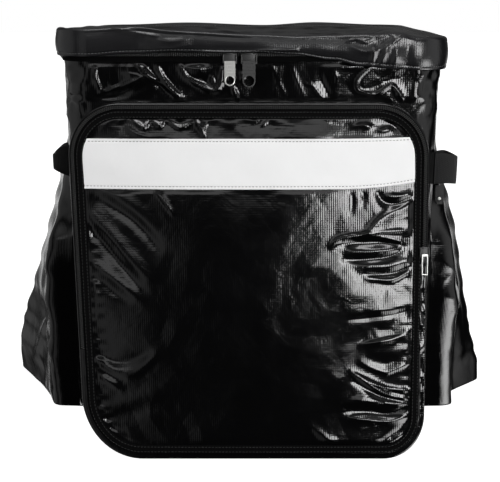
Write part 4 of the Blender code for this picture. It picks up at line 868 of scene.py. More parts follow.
def block(name, size, place, rounding=0.0):
    """A block at its size and place, with rounded edges."""
    nothing_selected()
    bpy.ops.mesh.primitive_cube_add(size=1.0, location=place)
    piece = bpy.context.object
    piece.name = name
    piece.data.name = name
    piece.scale = size
    apply_place(piece)
    if rounding:
        apply_modifier(piece, "BEVEL", width=rounding, segments=2, limit_method="ANGLE")
    return piece


def disc(radius, depth, place, sides=40):
    """A disc that looks forward."""
    nothing_selected()
    bpy.ops.mesh.primitive_cylinder_add(
        vertices=sides, radius=radius, depth=depth, location=place, rotation=(math.pi / 2, 0, 0)
    )
    piece = bpy.context.object
    apply_place(piece)
    return piece


def combine(piece, other, operation="DIFFERENCE"):
    """Cut one piece away from another, or weld the two."""
    apply_modifier(piece, "BOOLEAN", object=other, operation=operation, solver="EXACT")
    bpy.data.objects.remove(other, do_unlink=True)


def joined(name, pieces):
    """Join finished pieces into one object."""
    nothing_selected()
    for piece in pieces:
        piece.select_set(True)
    bpy.context.view_layer.objects.active = pieces[0]
    bpy.ops.object.join()
    made = bpy.context.object
    made.name = name
    made.data.name = name
    return made


def hang(piece, place, tilt=0.0, smooth=35):
    """Turn a piece about its own origin, put it in its place and shade it."""
    piece.location = place
    piece.rotation_euler = (tilt, 0.0, 0.0)
    apply_place(piece)
    smooth_shading(piece, smooth)
    return piece


# Materials

class Bench:
    """One material under work: short calls add its nodes and chain its bumps."""

    def __init__(self, name, metallic=0.0):
        self.material = bpy.data.materials.new(name)
        self.material.use_nodes = True
        self.tree = self.material.node_tree
        self.shader = self.tree.nodes["Principled BSDF"]
        self.shader.inputs["Metallic"].default_value = metallic
        self.normal = None

    def node(self, kind, **settings):
        made = self.tree.nodes.new(kind)
        for key, value in settings.items():
            setattr(made, key, value)
        return made

    def feed(self, socket, value):
        if isinstance(value, (int, float)):
            socket.default_value = value
        else:
            self.tree.links.new(value, socket)

    def number(self, operation, first, second=0.0, third=0.0):
        made = self.node("ShaderNodeMath", operation=operation)
        for socket, value in zip(made.inputs, (first, second, third)):
            self.feed(socket, value)
        return made.outputs[0]

    def place(self, stretch=(1.0, 1.0, 1.0)):
        """Object coordinates, stretched."""
        source = self.node("ShaderNodeTexCoord")
        turned = self.node("ShaderNodeMapping")
        turned.inputs["Scale"].default_value = stretch
        self.tree.links.new(source.outputs["Object"], turned.inputs["Vector"])
        return turned.outputs["Vector"]

    def cloth(self):
        """The cloth's own unwrapped metres, across and up."""
        source = self.node("ShaderNodeUVMap", uv_map="cloth")
        split = self.node("ShaderNodeSeparateXYZ")
        self.tree.links.new(source.outputs["UV"], split.inputs["Vector"])
        return split.outputs["X"], split.outputs["Y"]

    def noise(self, vector, scale, detail=4.0, roughness=0.55, distortion=0.0):
        made = self.node("ShaderNodeTexNoise")
        self.tree.links.new(vector, made.inputs["Vector"])
        made.inputs["Scale"].default_value = scale
        made.inputs["Detail"].default_value = detail
        made.inputs["Roughness"].default_value = roughness
        made.inputs["Distortion"].default_value = distortion
        return made.outputs["Fac"]

    def cells(self, vector, scale):
        made = self.node("ShaderNodeTexVoronoi", feature="DISTANCE_TO_EDGE")
        self.tree.links.new(vector, made.inputs["Vector"])
        made.inputs["Scale"].default_value = scale
        return made.outputs["Distance"]

    def ranged(self, value, low, high, to_low, to_high):
        made = self.node("ShaderNodeMapRange")
        self.tree.links.new(value, made.inputs["Value"])
        ends = (("From Min", low), ("From Max", high), ("To Min", to_low), ("To Max", to_high))
        for name, number in ends:
            made.inputs[name].default_value = number
        return made.outputs["Result"]

    def colours(self, factor, dark, light):
        """Mix two colours by a factor and give them to the shader."""
        made = self.node("ShaderNodeMix", data_type="RGBA")
        self.tree.links.new(factor, made.inputs[0])
        made.inputs[6].default_value = (*dark, 1.0)
        made.inputs[7].default_value = (*light, 1.0)
        self.tree.links.new(made.outputs[2], self.shader.inputs["Base Color"])

    def roughness(self, value):
        self.feed(self.shader.inputs["Roughness"], value)

    def bump(self, height, distance):
        made = self.node("ShaderNodeBump")
        made.inputs["Strength"].default_value = 1.0
        made.inputs["Distance"].default_value = distance
        self.tree.links.new(height, made.inputs["Height"])
        if self.normal is not None:
            self.tree.links.new(self.normal, made.inputs["Normal"])
        self.normal = made.outputs["Normal"]
        self.tree.links.new(self.normal, self.shader.inputs["Normal"])

    def yarns(self, value, pitch):
        """Rounded ridges across one direction of the cloth."""
        wave = self.number("SINE", self.number("MULTIPLY", value, math.pi / pitch))
        return self.number("ABSOLUTE", wave)


def scaled(colour, factor):
    """A colour made darker or paler."""
    return tuple(min(1.0, channel * factor) for channel in colour)


def kept(make):
    """Let a material be made once and then found again by its name."""
    def find(name=make.__name__, *settings):
        return bpy.data.materials.get(name) or make(name, *settings)
    return find


@kept
def coated_cloth(name, dull=0.0, paler=1.0):
    """Glossy coating over a grid of yarns, with fine crinkles and rubbed places."""
    cloth = bpy.context.scene.backpack_cloth
    bench = Bench(name)
    place = bench.place()
    broad = bench.noise(place, 9.0, 3.0)
    # paler lifts the whole colour; the lid's copy uses it as painted light, for the grey sheen over
    # its skirt and top
    bench.colours(broad, scaled(cloth.colour, 0.75 * paler), scaled(cloth.colour, 1.5 * paler))
    rubbed = bench.noise(place, 34.0, 5.0, 0.65)
    least = cloth.roughness + dull
    bench.roughness(bench.ranged(rubbed, 0.3, 0.75, least - 0.02, least + 0.06))
    across, up = bench.cloth()
    warp = bench.yarns(across, cloth.grid_pitch)
    weft = bench.ranged(bench.yarns(up, cloth.grid_pitch), 0.0, 1.0, 0.45, 1.0)
    grid = bench.number("MULTIPLY", warp, weft)
    bench.bump(bench.noise(place, 48.0, 3.0, 0.5, 0.6), 0.00045)
    bench.bump(bench.cells(place, 60.0), 0.00010)
    bench.bump(grid, cloth.grid_depth)
    return bench.material


@kept
def woven(name, colour, pitch, depth, roughness, gloss):
    """Woven tape or webbing: a twill of yarns with fuzz."""
    bench = Bench(name)
    across, up = bench.cloth()
    slant = bench.number("ADD", across, bench.number("MULTIPLY", up, 0.5))
    ribs = bench.yarns(slant, pitch)
    picks = bench.yarns(up, pitch * 0.8)
    weave = bench.number("MULTIPLY", ribs, picks)
    fuzz = bench.noise(bench.place(), 900.0, 3.0, 0.7)
    fine = bench.number("MULTIPLY", fuzz, 0.4)
    # The weave's crowns are painted paler and its hollows darker: painted shade, with the fuzz adding
    # random tone
    shade = bench.number("ADD", bench.number("MULTIPLY", weave, 0.6), fine)
    bench.colours(shade, scaled(colour, 0.55), scaled(colour, 1.8))
    bench.roughness(bench.ranged(fuzz, 0.3, 0.7, roughness - 0.08, roughness + 0.1))
    bench.shader.inputs["Specular IOR Level"].default_value = gloss
    bench.bump(weave, depth)
    bench.bump(fuzz, depth * 0.4)
    return bench.material


def tape_cloth():
    """Matt tape of the bindings and zippers."""
    colour = bpy.context.scene.backpack_trim.webbing_colour
    return woven("tape_cloth", colour, 0.0009, 0.00010, 0.74, 0.05)


def webbing_cloth():
    """Coarse webbing, a little glossier than the tape."""
    colour = scaled(bpy.context.scene.backpack_trim.webbing_colour, 2.2)
    return woven("webbing_cloth", colour, 0.0020, 0.00030, 0.45, 0.4)


@kept
def strap_mesh(name):
    """Open padded mesh of the shoulder straps."""
    bench = Bench(name)
    across, up = bench.cloth()
    mesh_relief_and_shade = bench.number("MULTIPLY", bench.yarns(across, 0.0034), bench.yarns(up, 0.0034))
    fuzz = bench.noise(bench.place(), 700.0, 3.0, 0.7)
    # The mesh's sunken lines are painted darker than its raised cells: painted shade
    bench.colours(mesh_relief_and_shade, (0.004, 0.004, 0.004), (0.020, 0.020, 0.021))
    bench.roughness(bench.ranged(fuzz, 0.3, 0.7, 0.72, 0.9))
    bench.shader.inputs["Specular IOR Level"].default_value = 0.3
    bench.bump(mesh_relief_and_shade, 0.0006)
    bench.bump(fuzz, 0.0001)
    return bench.material


@kept
def sewing_thread(name, colour=(0.012, 0.012, 0.012), roughness=0.42):
    """Sewing thread."""
    bench = Bench(name)
    strands = bench.noise(bench.place((900.0, 900.0, 900.0)), 2.0, 2.0)
    bench.colours(strands, scaled(colour, 0.7), scaled(colour, 1.5))
    bench.roughness(bench.ranged(strands, 0.3, 0.7, roughness - 0.08, roughness + 0.08))
    bench.bump(strands, 0.00006)
    return bench.material


@kept
def band_cloth(name):
    """White coated band with a fine satin weave and faint grime."""
    colour = bpy.context.scene.backpack_trim.band_colour
    bench = Bench(name)
    place = bench.place()
    grime = bench.noise(place, 14.0, 6.0, 0.6)
    bench.colours(grime, scaled(colour, 0.96), scaled(colour, 1.04))
    bench.roughness(bench.ranged(bench.noise(place, 60.0, 3.0), 0.3, 0.7, 0.40, 0.52))
    across, up = bench.cloth()
    satin = bench.number("MULTIPLY", bench.yarns(across, 0.0007), bench.yarns(up, 0.0007))
    bench.bump(bench.noise(place, 26.0, 4.0), 0.0006)
    bench.bump(satin, 0.00003)
    return bench.material


# Colour, roughness and depth of the pits of each metal
METALS = {
    "bright_metal": ((0.42, 0.42, 0.41), 0.26, 0.00010),
    "dark_metal": ((0.009, 0.009, 0.0095), 0.40, 0.00005),
}


@kept
def cast_metal(name):
    """Cast and plated metal with worn places and fine pits."""
    colour, roughness, texture = METALS[name]
    bench = Bench(name, metallic=1.0)
    place = bench.place()
    worn = bench.noise(place, 260.0, 5.0, 0.65)
    bench.colours(worn, scaled(colour, 0.55), scaled(colour, 1.25))
    bench.roughness(bench.ranged(worn, 0.3, 0.75, roughness - 0.08, roughness + 0.14))
    bench.bump(bench.noise(place, 1500.0, 3.0), texture)
    bench.bump(bench.cells(place, 700.0), texture)
    return bench.material


@kept
def moulded_plastic(name):
    """Moulded plastic with a fine grain."""
    bench = Bench(name)
    place = bench.place()
    grain = bench.noise(place, 1400.0, 3.0, 0.6)
    bench.colours(bench.noise(place, 60.0, 3.0), (0.010, 0.010, 0.010), (0.020, 0.020, 0.020))
    bench.roughness(bench.ranged(grain, 0.3, 0.7, 0.34, 0.50))
    bench.bump(grain, 0.00006)
    return bench.material


# Front pocket

def corner_share(side, up):
    """Signed share of the way into a rounded corner of the panel, and the corner's radius."""
    low = np.where(side < 0, POCKET_LOW_LEFT_CORNER, POCKET_LOW_RIGHT_CORNER) - POCKET_MARGIN
    high = POCKET_CORNER - POCKET_MARGIN
    into_low = np.clip((PANEL_LOW + low - up) / low, 0.0, 1.0)
    into_high = np.clip((up - PANEL_HIGH + high) / high, 0.0, 1.0)
    return into_high - into_low, np.where(into_low > 0, low, high)


def panel_half(side, up, grow=0.0):
    """Half width of the panel at a height, with its rounded corners."""
    share, radius = corner_share(side, up)
    return PANEL_HALF + grow - radius + radius * np.sqrt(np.clip(1 - share * share, 0.0, 1.0))


def pocket_place(across, up):
    """Apply the pocket's taper and lean."""
    share = (up - POCKET_BOTTOM) / POCKET_HEIGHT
    middle = POCKET_BOTTOM_ACROSS + (POCKET_TOP_ACROSS - POCKET_BOTTOM_ACROSS) * share
    return middle + across * (1 - POCKET_TAPER * (1 - share))


def panel_depth(across, up):
    """Smooth depth of the panel in Y, without creases."""
    share = (up - POCKET_BOTTOM) / POCKET_HEIGHT
    side = across / (POCKET_WIDTH / 2)
    reach = POCKET_TOP_REACH + (POCKET_BOTTOM_REACH - POCKET_TOP_REACH) * (1 - share)
    inside = np.clip(1 - side * side, 0.0, 1.0)
    bulge = POCKET_BULGE * inside * np.sin(math.pi * np.clip(share, 0.0, 1.0)) ** 0.8
    return FRONT - reach - bulge


def panel_relief(across, up):
    """Creases and crumpling of the panel: none at the binding, and flat under the band."""
    strength = bpy.context.scene.backpack_cloth.crease_strength
    x = pocket_place(across, up)
    side = np.where(across < 0, -1, 1)
    to_side = panel_half(side, up) - np.abs(across)
    to_end = np.minimum(up - PANEL_LOW, PANEL_HIGH - up)
    margin = eased(-0.001, 0.007, to_side) * eased(-0.001, 0.007, to_end)
    lift = band_lift(across, up)
    under_band = eased(REFLECTIVE_BOTTOM - 0.003, REFLECTIVE_BOTTOM + 0.004, up - lift)
    under_band = under_band * (1 - eased(REFLECTIVE_TOP - 0.004, REFLECTIVE_TOP + 0.003, up - lift))
    top = eased(REFLECTIVE_TOP + 0.004, PANEL_HIGH - 0.004, up)
    crumpled = 0.00035 + 0.0007 * top + 0.0004 * eased(0.05, 0.13, x) + 0.0003 * eased(0.10, 0.02, up)
    relief = crease_relief(x, up, PANEL_CREASES, strength)
    relief = relief + crumpled * facet_field(x, up, 0.019, 11) * strength
    relief = relief + 0.0011 * soft_field(x, up, 0.055, 12) * strength
    drift = 3 * soft_field(x, up, 0.03, 5)
    puckers = eased(0.016, 0.002, to_side) * np.sin(up * 2 * math.pi / 0.0105 + drift)
    puckers = puckers * np.where(x < 0, eased(0.23, 0.18, up), 0.35)
    relief = relief + 0.0006 * puckers * strength
    return relief * margin * (1 - 0.88 * under_band)


def band_lift(across, up):
    """How far the band's rows are drawn up towards the right."""
    right = np.clip((across / PANEL_HALF - 0.55) / 0.45, 0.0, 1.0)
    return REFLECTIVE_LIFT * right * right * bell(up - REFLECTIVE_BOTTOM, REFLECTIVE_HEIGHT * 0.8)


def panel_border(step=0.0025):
    """Points of the panel's border, anticlockwise from the front: across, up and the way out."""
    low_left = POCKET_LOW_LEFT_CORNER - POCKET_MARGIN
    low_right = POCKET_LOW_RIGHT_CORNER - POCKET_MARGIN
    high = POCKET_CORNER - POCKET_MARGIN
    corners = (
        (PANEL_HALF - low_right, PANEL_LOW + low_right, low_right, -90),
        (PANEL_HALF - high, PANEL_HIGH - high, high, 0),
        (-PANEL_HALF + high, PANEL_HIGH - high, high, 90),
        (-PANEL_HALF + low_left, PANEL_LOW + low_left, low_left, 180),
    )
    rows = []
    for index, (x, z, radius, start) in enumerate(corners):
        turns = max(6, int(radius * math.pi / 2 / step))
        for turn in range(turns + 1):
            angle = math.radians(start + 90 * turn / turns)
            out = (math.cos(angle), math.sin(angle))
            rows.append((x + radius * out[0], z + radius * out[1], *out))
        ahead = corners[(index + 1) % 4]
        angle = math.radians(start + 90)
        out = (math.cos(angle), math.sin(angle))
        begin = np.array((x + radius * out[0], z + radius * out[1]))
        end = np.array((ahead[0] + ahead[2] * out[0], ahead[1] + ahead[2] * out[1]))
        steps = max(2, int(np.linalg.norm(end - begin) / step))
        for count in range(1, steps):
            spot = begin + (end - begin) * count / steps
            rows.append((*spot, *out))
    return np.array(rows)


def border_points(border, offset, lift):
    """Points off the panel's border by an offset in its plane and a lift off its face."""
    x = border[:, 0] + border[:, 2] * offset
    z = border[:, 1] + border[:, 3] * offset
    return np.stack((pocket_place(x, z), panel_depth(x, z) - lift, z), axis=-1)


def border_sweep(name, profile, along=None):
    """Sweep a closed profile of offset and lift along the panel's border, or along a part of it."""
    border = panel_border()
    part = np.vstack((border, border[:1])) if along is None else border[along]
    profile = [*profile, profile[0]]
    rows = [border_points(part, offset, lift) for offset, lift in profile]
    piece = lofted(name, rows, path_lengths(rows[0]), [offset for offset, _ in profile])
    close_mesh(piece, capped=along is not None)
    smooth_shading(piece)
    return piece


def zipper_stations(border):
    """Stations of the border that the zipper follows, from one of its ends to the other."""
    lowest = np.where(border[:, 0] < 0, ZIPPER_LEFT_END, POCKET_SLIDER_HEIGHT)
    return np.where(border[:, 1] >= lowest)[0][::-1]


# Bag rings

def ring_stations(front=300, sides=72, back=90, corner=14):
    """Stations round the bag, anticlockwise from above: side, share of it, and corner's turn."""
    rows = []
    for side, count in enumerate((front, sides, back, sides)):
        for step in range(count + 1):
            rows.append((side, step / count, 0.0))
        for step in range(1, corner):
            rows.append((side, 1.0, step / corner))
    rows.append((0, 0.0, 0.0))
    return np.array(rows)


def ring_points(stations, half, front, back, corner):
    """Points of a level rounded rectangle, and the way out at each."""
    side = stations[:, 0].astype(int)
    corners = np.array((
        (-half + corner, front + corner), (half - corner, front + corner),
        (half - corner, back - corner), (-half + corner, back - corner),
    ))
    start = corners[side]
    end = corners[(side + 1) % 4]
    angle = np.radians(-90 + 90 * side + 90 * stations[:, 2])
    out = np.stack((np.cos(angle), np.sin(angle)), axis=1)
    return start + (end - start) * stations[:, 1:2] + corner * out, out


def lid_places(stations):
    """Places of the stations in the table of the lid's edge."""
    straight = stations[:, 0] + 0.02 + 0.96 * stations[:, 1]
    turned = stations[:, 0] + 0.98 + 0.04 * stations[:, 2]
    place = np.where(stations[:, 2] > 0, turned, straight)
    return np.where(place > 4.0, place - 4.0, place)


def wall_relief(stations, points, height):
    """Creases of the body's outer wall at one height: the front strip, the sides and the back."""
    strength = bpy.context.scene.backpack_cloth.crease_strength
    side = stations[:, 0].astype(int)
    straight = stations[:, 2] == 0
    up = np.full(len(stations), height)
    x = points[:, 0]
    y = points[:, 1]
    arc = HALF_WIDTH - BODY_CORNER + BODY_CORNER * np.radians(90 * stations[:, 2])
    far_arc = BODY_CORNER * math.pi / 2 + 2 * (HALF_WIDTH - BODY_CORNER)
    turned = np.where((side == 3) & ~straight, arc - far_arc, x)
    across = np.where((side == 0) & ~straight, arc, turned)
    near_ends = eased(0.0, 0.04, stations[:, 1]) * eased(1.0, 0.96, stations[:, 1])
    below_tape = eased(STRIP_END, STRIP_FULL, up)
    beside = np.abs(x) > POCKET_WIDTH / 2 - 0.012
    over_pocket = eased(POCKET_TOP - 0.002, POCKET_TOP + 0.004, up)
    strip = np.where(beside, eased(0.02, 0.05, up), over_pocket) * below_tape
    crumple = np.where(beside, 0.0026, 0.0011) * facet_field(across, up, 0.017, 21) + 0.0006
    crumple = crumple + np.where(beside, 0.0012 * facet_field(across, up, 0.008, 24) - 0.0012, 0.0)
    front = crease_relief(across, up, STRIP_CREASES, strength * STRIP_SHARE) + crumple
    front = np.maximum(front, -DEEPEST_CREASE) * strip
    at_loops = beside & (up < POCKET_TOP - 0.03)
    front = np.where(at_loops, np.minimum(front - 0.001, 0.0), front)
    high = eased(GUSSET_HEIGHT - 0.02, GUSSET_HEIGHT + 0.004, up) * below_tape
    open_side = np.maximum(eased(0.132, 0.138, np.abs(y)), high)
    sides = crease_relief(y, up, SIDE_CREASES, strength) + 0.0010 * facet_field(y, up, 0.024, 22)
    sides = np.where(open_side > 0.5, sides, np.minimum(sides, 0.0) - 0.0004)
    sides = sides * near_ends * below_tape
    back = crease_relief(x, up, BACK_CREASES, strength) + 0.0009 * facet_field(x, up, 0.03, 23)
    back = np.minimum(back, 0.0) * near_ends * eased(0.385, 0.37, up)
    on_front = ((side == 0) | ((side == 3) & ~straight)) & (y < FRONT + BODY_CORNER)
    relief = np.select([on_front, side == 2], [front, back], default=sides)
    blend = np.where(on_front, eased(FRONT + BODY_CORNER, FRONT + BODY_CORNER * 0.6, y), straight)
    return relief * blend * eased(0.004, 0.02, up)


def folded(share, places, outs):
    """Heights of a folded sheet at shares of its width: straight between the folds."""
    height = np.zeros(share.shape)
    for first, last, low, high in zip(places, places[1:], outs, outs[1:]):
        inside = (share >= first) & (share <= last)
        height = np.where(inside, low + (high - low) * (share - first) / (last - first), height)
    return height


def side_section(side, share, row_place):
    """How far a gusset stands out, its push forward, and its ridge, over its depth and height."""
    columns = (1, 3) if side < 0 else (2, 4)
    reach, ridge = [table_column(GUSSET_ROWS, row_place, column) for column in columns]
    reach = reach * GUSSET_REACH[side]
    zero = 0 * ridge
    (near, near_out, near_push), (far, far_out, far_push) = PLEATS[side]
    full = np.minimum(1.0, PLEAT_SHARE * reach / far_out)
    hollow = far + (ridge - far) * 0.34
    hollow_out = far_out * full + (reach - far_out * full) * GUSSET_HOLLOW[side]
    behind = ridge + (1 - ridge) * 0.46
    places = (zero, near + zero, far + zero, hollow, ridge, behind, 1 + zero)
    outs = (zero, near_out * full, far_out * full, hollow_out, reach, reach * 0.60, zero)
    pushes = (zero, near_push * full, far_push * full, near_push * full * 0.4, zero, zero, zero)
    inside = eased(0.0, 0.02, share) * eased(1.0, 0.98, share)
    made = []
    for levels in (outs, pushes):
        crisp = folded(share, places, levels)
        rounded = 0
        for shift in FOLD_ROUNDING:
            near_by = np.clip(share + shift, 0.0, 1.0)
            rounded = rounded + folded(near_by, places, levels) / len(FOLD_ROUNDING)
        made.append(crisp + (rounded - crisp) * inside)
    return made[0], made[1], reach, ridge


# Operators

class BACKPACK_OT_body(bpy.types.Operator):
    """Loft the padded body in coated cloth, with its crumpled front strip."""

    bl_idname = "backpack.body"
    bl_label = "Body"

    def execute(self, context):
        stations = ring_stations()
        outer, _ = ring_points(stations, HALF_WIDTH, FRONT, BACK, BODY_CORNER)
        lengths = path_lengths(outer)
        rows = [("pole", 0.0, BODY_BASE), ("in", BODY_WALL, BODY_BASE), ("in", BODY_WALL, 0.20)]
        rows += [("in", BODY_WALL, BODY_HEIGHT - 0.0008), ("in", BODY_WALL - 0.001, BODY_HEIGHT)]
        rows += [("in", 0.001, BODY_HEIGHT), ("in", 0.0, BODY_HEIGHT - 0.001)]
        above_pocket = (BODY_HEIGHT - 0.002, POCKET_TOP - 0.004)
        for top, bottom in (above_pocket, (POCKET_TOP - 0.010, BASE_EDGE)):
            rows += [("out", 0.0, height) for height in np.linspace(top, bottom, 52)]
        rows += [("in", 0.0018, 0.0018), ("in", BASE_EDGE, 0.0), ("pole", 0.0, 0.0)]
        lines = []
        for kind, inset, height in rows:
            if kind == "pole":
                lines.append(np.tile((0.0, 0.0, height), (len(stations), 1)))
                continue
            corner = BODY_CORNER - inset
            wide, deep = HALF_WIDTH - inset, BACK - inset
            points, out = ring_points(stations, wide, -deep, deep, corner)
            if kind == "out":
                points = points + out * wall_relief(stations, outer, height)[:, None]
            lines.append(np.column_stack((points, np.full(len(points), height))))
        piece = lofted("body_cloth", lines, lengths, [height for _, _, height in rows])
        close_mesh(piece, capped=False)
        smooth_shading(piece, 60)
        dress(piece, coated_cloth(), replaced=("body_shell",))
        return {"FINISHED"}


class BACKPACK_OT_lid(bpy.types.Operator):
    """Loft the lid with its skirt, rolled rim and sagging top."""

    bl_idname = "backpack.lid"
    bl_label = "Lid"

    def execute(self, context):
        strength = context.scene.backpack_cloth.crease_strength
        stations = ring_stations()
        place_of = lid_places(stations)
        underside = BODY_HEIGHT + CLEARANCE
        hem = BODY_HEIGHT - SKIRT_DROP * table_column(LID_EDGE, place_of, 2)
        rim = BODY_HEIGHT + LID_RIM * table_column(LID_EDGE, place_of, 1)
        bow = LID_SIDE_LIP * table_column(LID_EDGE, place_of, 3)
        shoulder = rim - RIM_ROUNDING
        inside = np.maximum(rim - RIM_ROUNDING * 1.2, underside + LID_PANEL)
        half = HALF_WIDTH + LID_SIDE_LIP
        back = BACK + LID_FRONT_LIP
        corner = BODY_CORNER + LID_FRONT_LIP
        outer, _ = ring_points(stations, half, -back, back, corner)
        lengths = path_lengths(outer)
        on_front = (stations[:, 0] == 0) & (stations[:, 2] == 0)
        lines = []

        def ring(inset, height, push):
            wide, deep = half - inset, back - inset
            points, out = ring_points(stations, wide, -deep, deep, max(corner - inset, 0.004))
            creases = crease_relief(outer[:, 0], height, LID_CREASES, strength)
            push = push + np.where(on_front, creases, 0.0)
            lines.append(np.column_stack((points + out * push[:, None], height)))

        def top_ring(share, height):
            wide, deep = (half - SKIRT_CLOTH) * share, (back - SKIRT_CLOTH) * share
            points, _ = ring_points(stations, wide, -deep, deep, BODY_CORNER * share)
            lines.append(np.column_stack((points, height(points[:, 0], points[:, 1]))))

        flat = np.zeros(len(stations))
        for share in (0.0, 0.42, 0.70, 0.90):
            sag = LID_SAG * table_column(LID_SAG_ROWS, np.array(share), 1)
            top_ring(share, lambda x, y, sag=sag: np.full(len(x), underside - sag))
        ring(SKIRT_CLOTH, np.full(len(stations), underside), flat)
        ring(SKIRT_CLOTH, hem + 0.001, bow * 0.5)
        ring(SKIRT_CLOTH * 0.7, hem, bow * 0.5)
        ring(SKIRT_CLOTH * 0.25, hem + 0.0001, bow * 0.5)
        for share in np.linspace(0.04, 1.0, 34):
            height = hem + (shoulder - hem) * share
            swell = bow * (0.5 + 0.5 * math.sin(math.pi * min(1.0, share * 0.8)))
            swell = swell + SKIRT_SWELL * math.sin(math.pi * share) * strength
            swell = swell + 0.0007 * soft_field(lengths, height, 0.045, 31) * eased(0.0, 0.3, share)
            groove = -0.0005 * bell(share - 0.14, 0.035)
            ring(0.0, height, swell + groove)
        for turn in np.linspace(15, 90, 6):
            angle = math.radians(turn)
            inset = RIM_ROUNDING * 0.9 * (1 - math.cos(angle))
            ring(inset, shoulder + RIM_ROUNDING * math.sin(angle), bow * 0.6 * math.cos(angle))
        ring(RIM_ROUNDING * 1.5, rim - 0.0002, flat)
        ring(RIM_ROUNDING * 2.1, rim - (rim - inside) * 0.45, flat)
        ring(RIM_ROUNDING * 2.7, inside, flat)

        def top(share):
            sag = LID_SAG * table_column(LID_SAG_ROWS, np.array(share / 0.985), 1)

            def height(x, y):
                fold = 0.0030 * facet_field(x, y, 0.045, 33) + 0.0018 * soft_field(x, y, 0.09, 34)
                fold = fold + 0.0010 * facet_field(x, y, 0.016, 35)
                return underside + LID_PANEL - sag + fold * eased(0.0, 0.2, 0.96 - share) + 0.0004
            return height

        for share in np.linspace(0.935, 0.0, 44):
            top_ring(max(share, 0.0), top(share))
        lines = np.array(lines)
        piece = lofted("lid_cloth", lines, lengths, path_lengths(lines[:, 60]))
        close_mesh(piece, capped=False)
        smooth_shading(piece, 60)
        # The lid's copy of the coated cloth is duller and painted paler: painted light for the grey
        # sheen over its skirt and top
        cloth = coated_cloth("lid_cloth", LID_DULL, LID_PAINTED_PALER)
        dress(piece, cloth, replaced=("lid",))
        hem_row = 11  # The skirt's fourth row, past the underside and the rolled hem
        rim_row = 51  # The first row of the top
        outs = ring_points(stations, 1.0, -1.0, 1.0, 0.5)[1]
        outs = np.column_stack((outs, np.zeros(len(stations))))
        # The stitches are real, but this thread is painted much paler than the default thread:
        # painted highlight, standing in for the light caught along the hem and the rim
        thread = sewing_thread("hem_thread", (0.10, 0.10, 0.10), 0.3)
        stitch_row("lid_hem_stitches", lines[hem_row] + outs * 0.0002, outs, thread)
        rim_path = lines[rim_row] + np.array((0, 0, 0.0002))
        stitch_row("lid_rim_stitches", rim_path, (0.0, 0.0, 1.0), thread)
        return {"FINISHED"}


class BACKPACK_OT_front_pocket(bpy.types.Operator):
    """Lay the creased panel of the front pocket and its rounded sides."""

    bl_idname = "backpack.front_pocket"
    bl_label = "Front pocket"

    def execute(self, context):
        def panel(u, v):
            level = 0.35 * (0.5 - 0.5 * np.cos(math.pi * v)) + 0.65 * v
            up = PANEL_LOW - PANEL_GROW + (PANEL_HIGH - PANEL_LOW + 2 * PANEL_GROW) * level
            share = 2 * u - 1
            side = np.where(share < 0, -1, 1)
            across = share * panel_half(side, np.clip(up, PANEL_LOW, PANEL_HIGH), PANEL_GROW)
            depth = panel_depth(across, up) - panel_relief(across, up)
            points = np.stack((pocket_place(across, up), depth, up), axis=-1)
            return points, np.stack((across, up), axis=-1)

        piece = cloth_grid("pocket_panel", 280, 290, panel)
        face_away(piece, (0.0, 1.0, 0.1))
        smooth_shading(piece)
        dress(piece, coated_cloth(), replaced=("front_pocket",))

        border = panel_border()
        border = np.vstack((border, border[:1]))
        edge_of_tape = BINDING_WIDTH + 0.0008
        profile = [(-0.0012, -0.0016), (BINDING_WIDTH, -0.0002), (edge_of_tape, 0.0)]
        profile += [(BINDING_WIDTH + 0.0008 * step, 0.0) for step in range(2, 7)]
        profile += [(POCKET_MARGIN - 0.0013, -0.0002), (POCKET_MARGIN - 0.0004, -0.0008)]
        profile += [(POCKET_MARGIN, -0.0020)]
        slider = POCKET_SLIDER_HEIGHT
        loose = eased(slider - 0.010, slider - 0.018, border[:, 1]) * (border[:, 0] > 0)
        loose = loose * eased(0.02, 0.05, border[:, 1])
        lines = []
        for offset, lift in profile:
            along = border[:, 1] - 0.5
            ruck = 0.0015 * facet_field(along, along * 0 + offset, 0.0095, 43)
            ruck = ruck + 0.0010 * facet_field(along, along * 0 + offset, 0.0048, 44) - 0.0004
            share = max(0.0, offset - BINDING_WIDTH) / (POCKET_MARGIN - BINDING_WIDTH)
            room = math.sin(math.pi * share) ** 0.6
            lines.append(border_points(border, offset, lift + ruck * loose * room))
        edge = lines[-1]
        lengths = path_lengths(edge)
        out = np.column_stack((border[:, 2], np.zeros(len(border)), border[:, 3]))
        wall_rows = 16
        for row in range(1, wall_rows + 1):
            share = row / wall_rows
            points = edge.copy()
            points[:, 1] = edge[:, 1] + (FRONT - CLEARANCE - edge[:, 1]) * share
            away = np.abs(edge[:, 1] - FRONT) * share
            fold = 0.0028 * facet_field(lengths - 0.6, away, 0.024, 41) - 0.0022
            fold = fold + 0.0012 * facet_field(lengths - 0.6, away, 0.011, 42)
            fold = np.minimum(fold * math.sin(math.pi * share) ** 0.5, 0.0)
            points += out * fold[:, None]
            lines.append(points)
        lines = np.array(lines)
        piece = lofted("pocket_sides", lines, lengths, path_lengths(lines[:, 20]))
        face_away(piece, (0.0, -0.19, 0.17))
        apply_modifier(piece, "SOLIDIFY", thickness=CLOTH_THICKNESS, offset=-1.0)
        smooth_shading(piece)
        dress(piece, coated_cloth(), replaced=("front_pocket",))
        return {"FINISHED"}


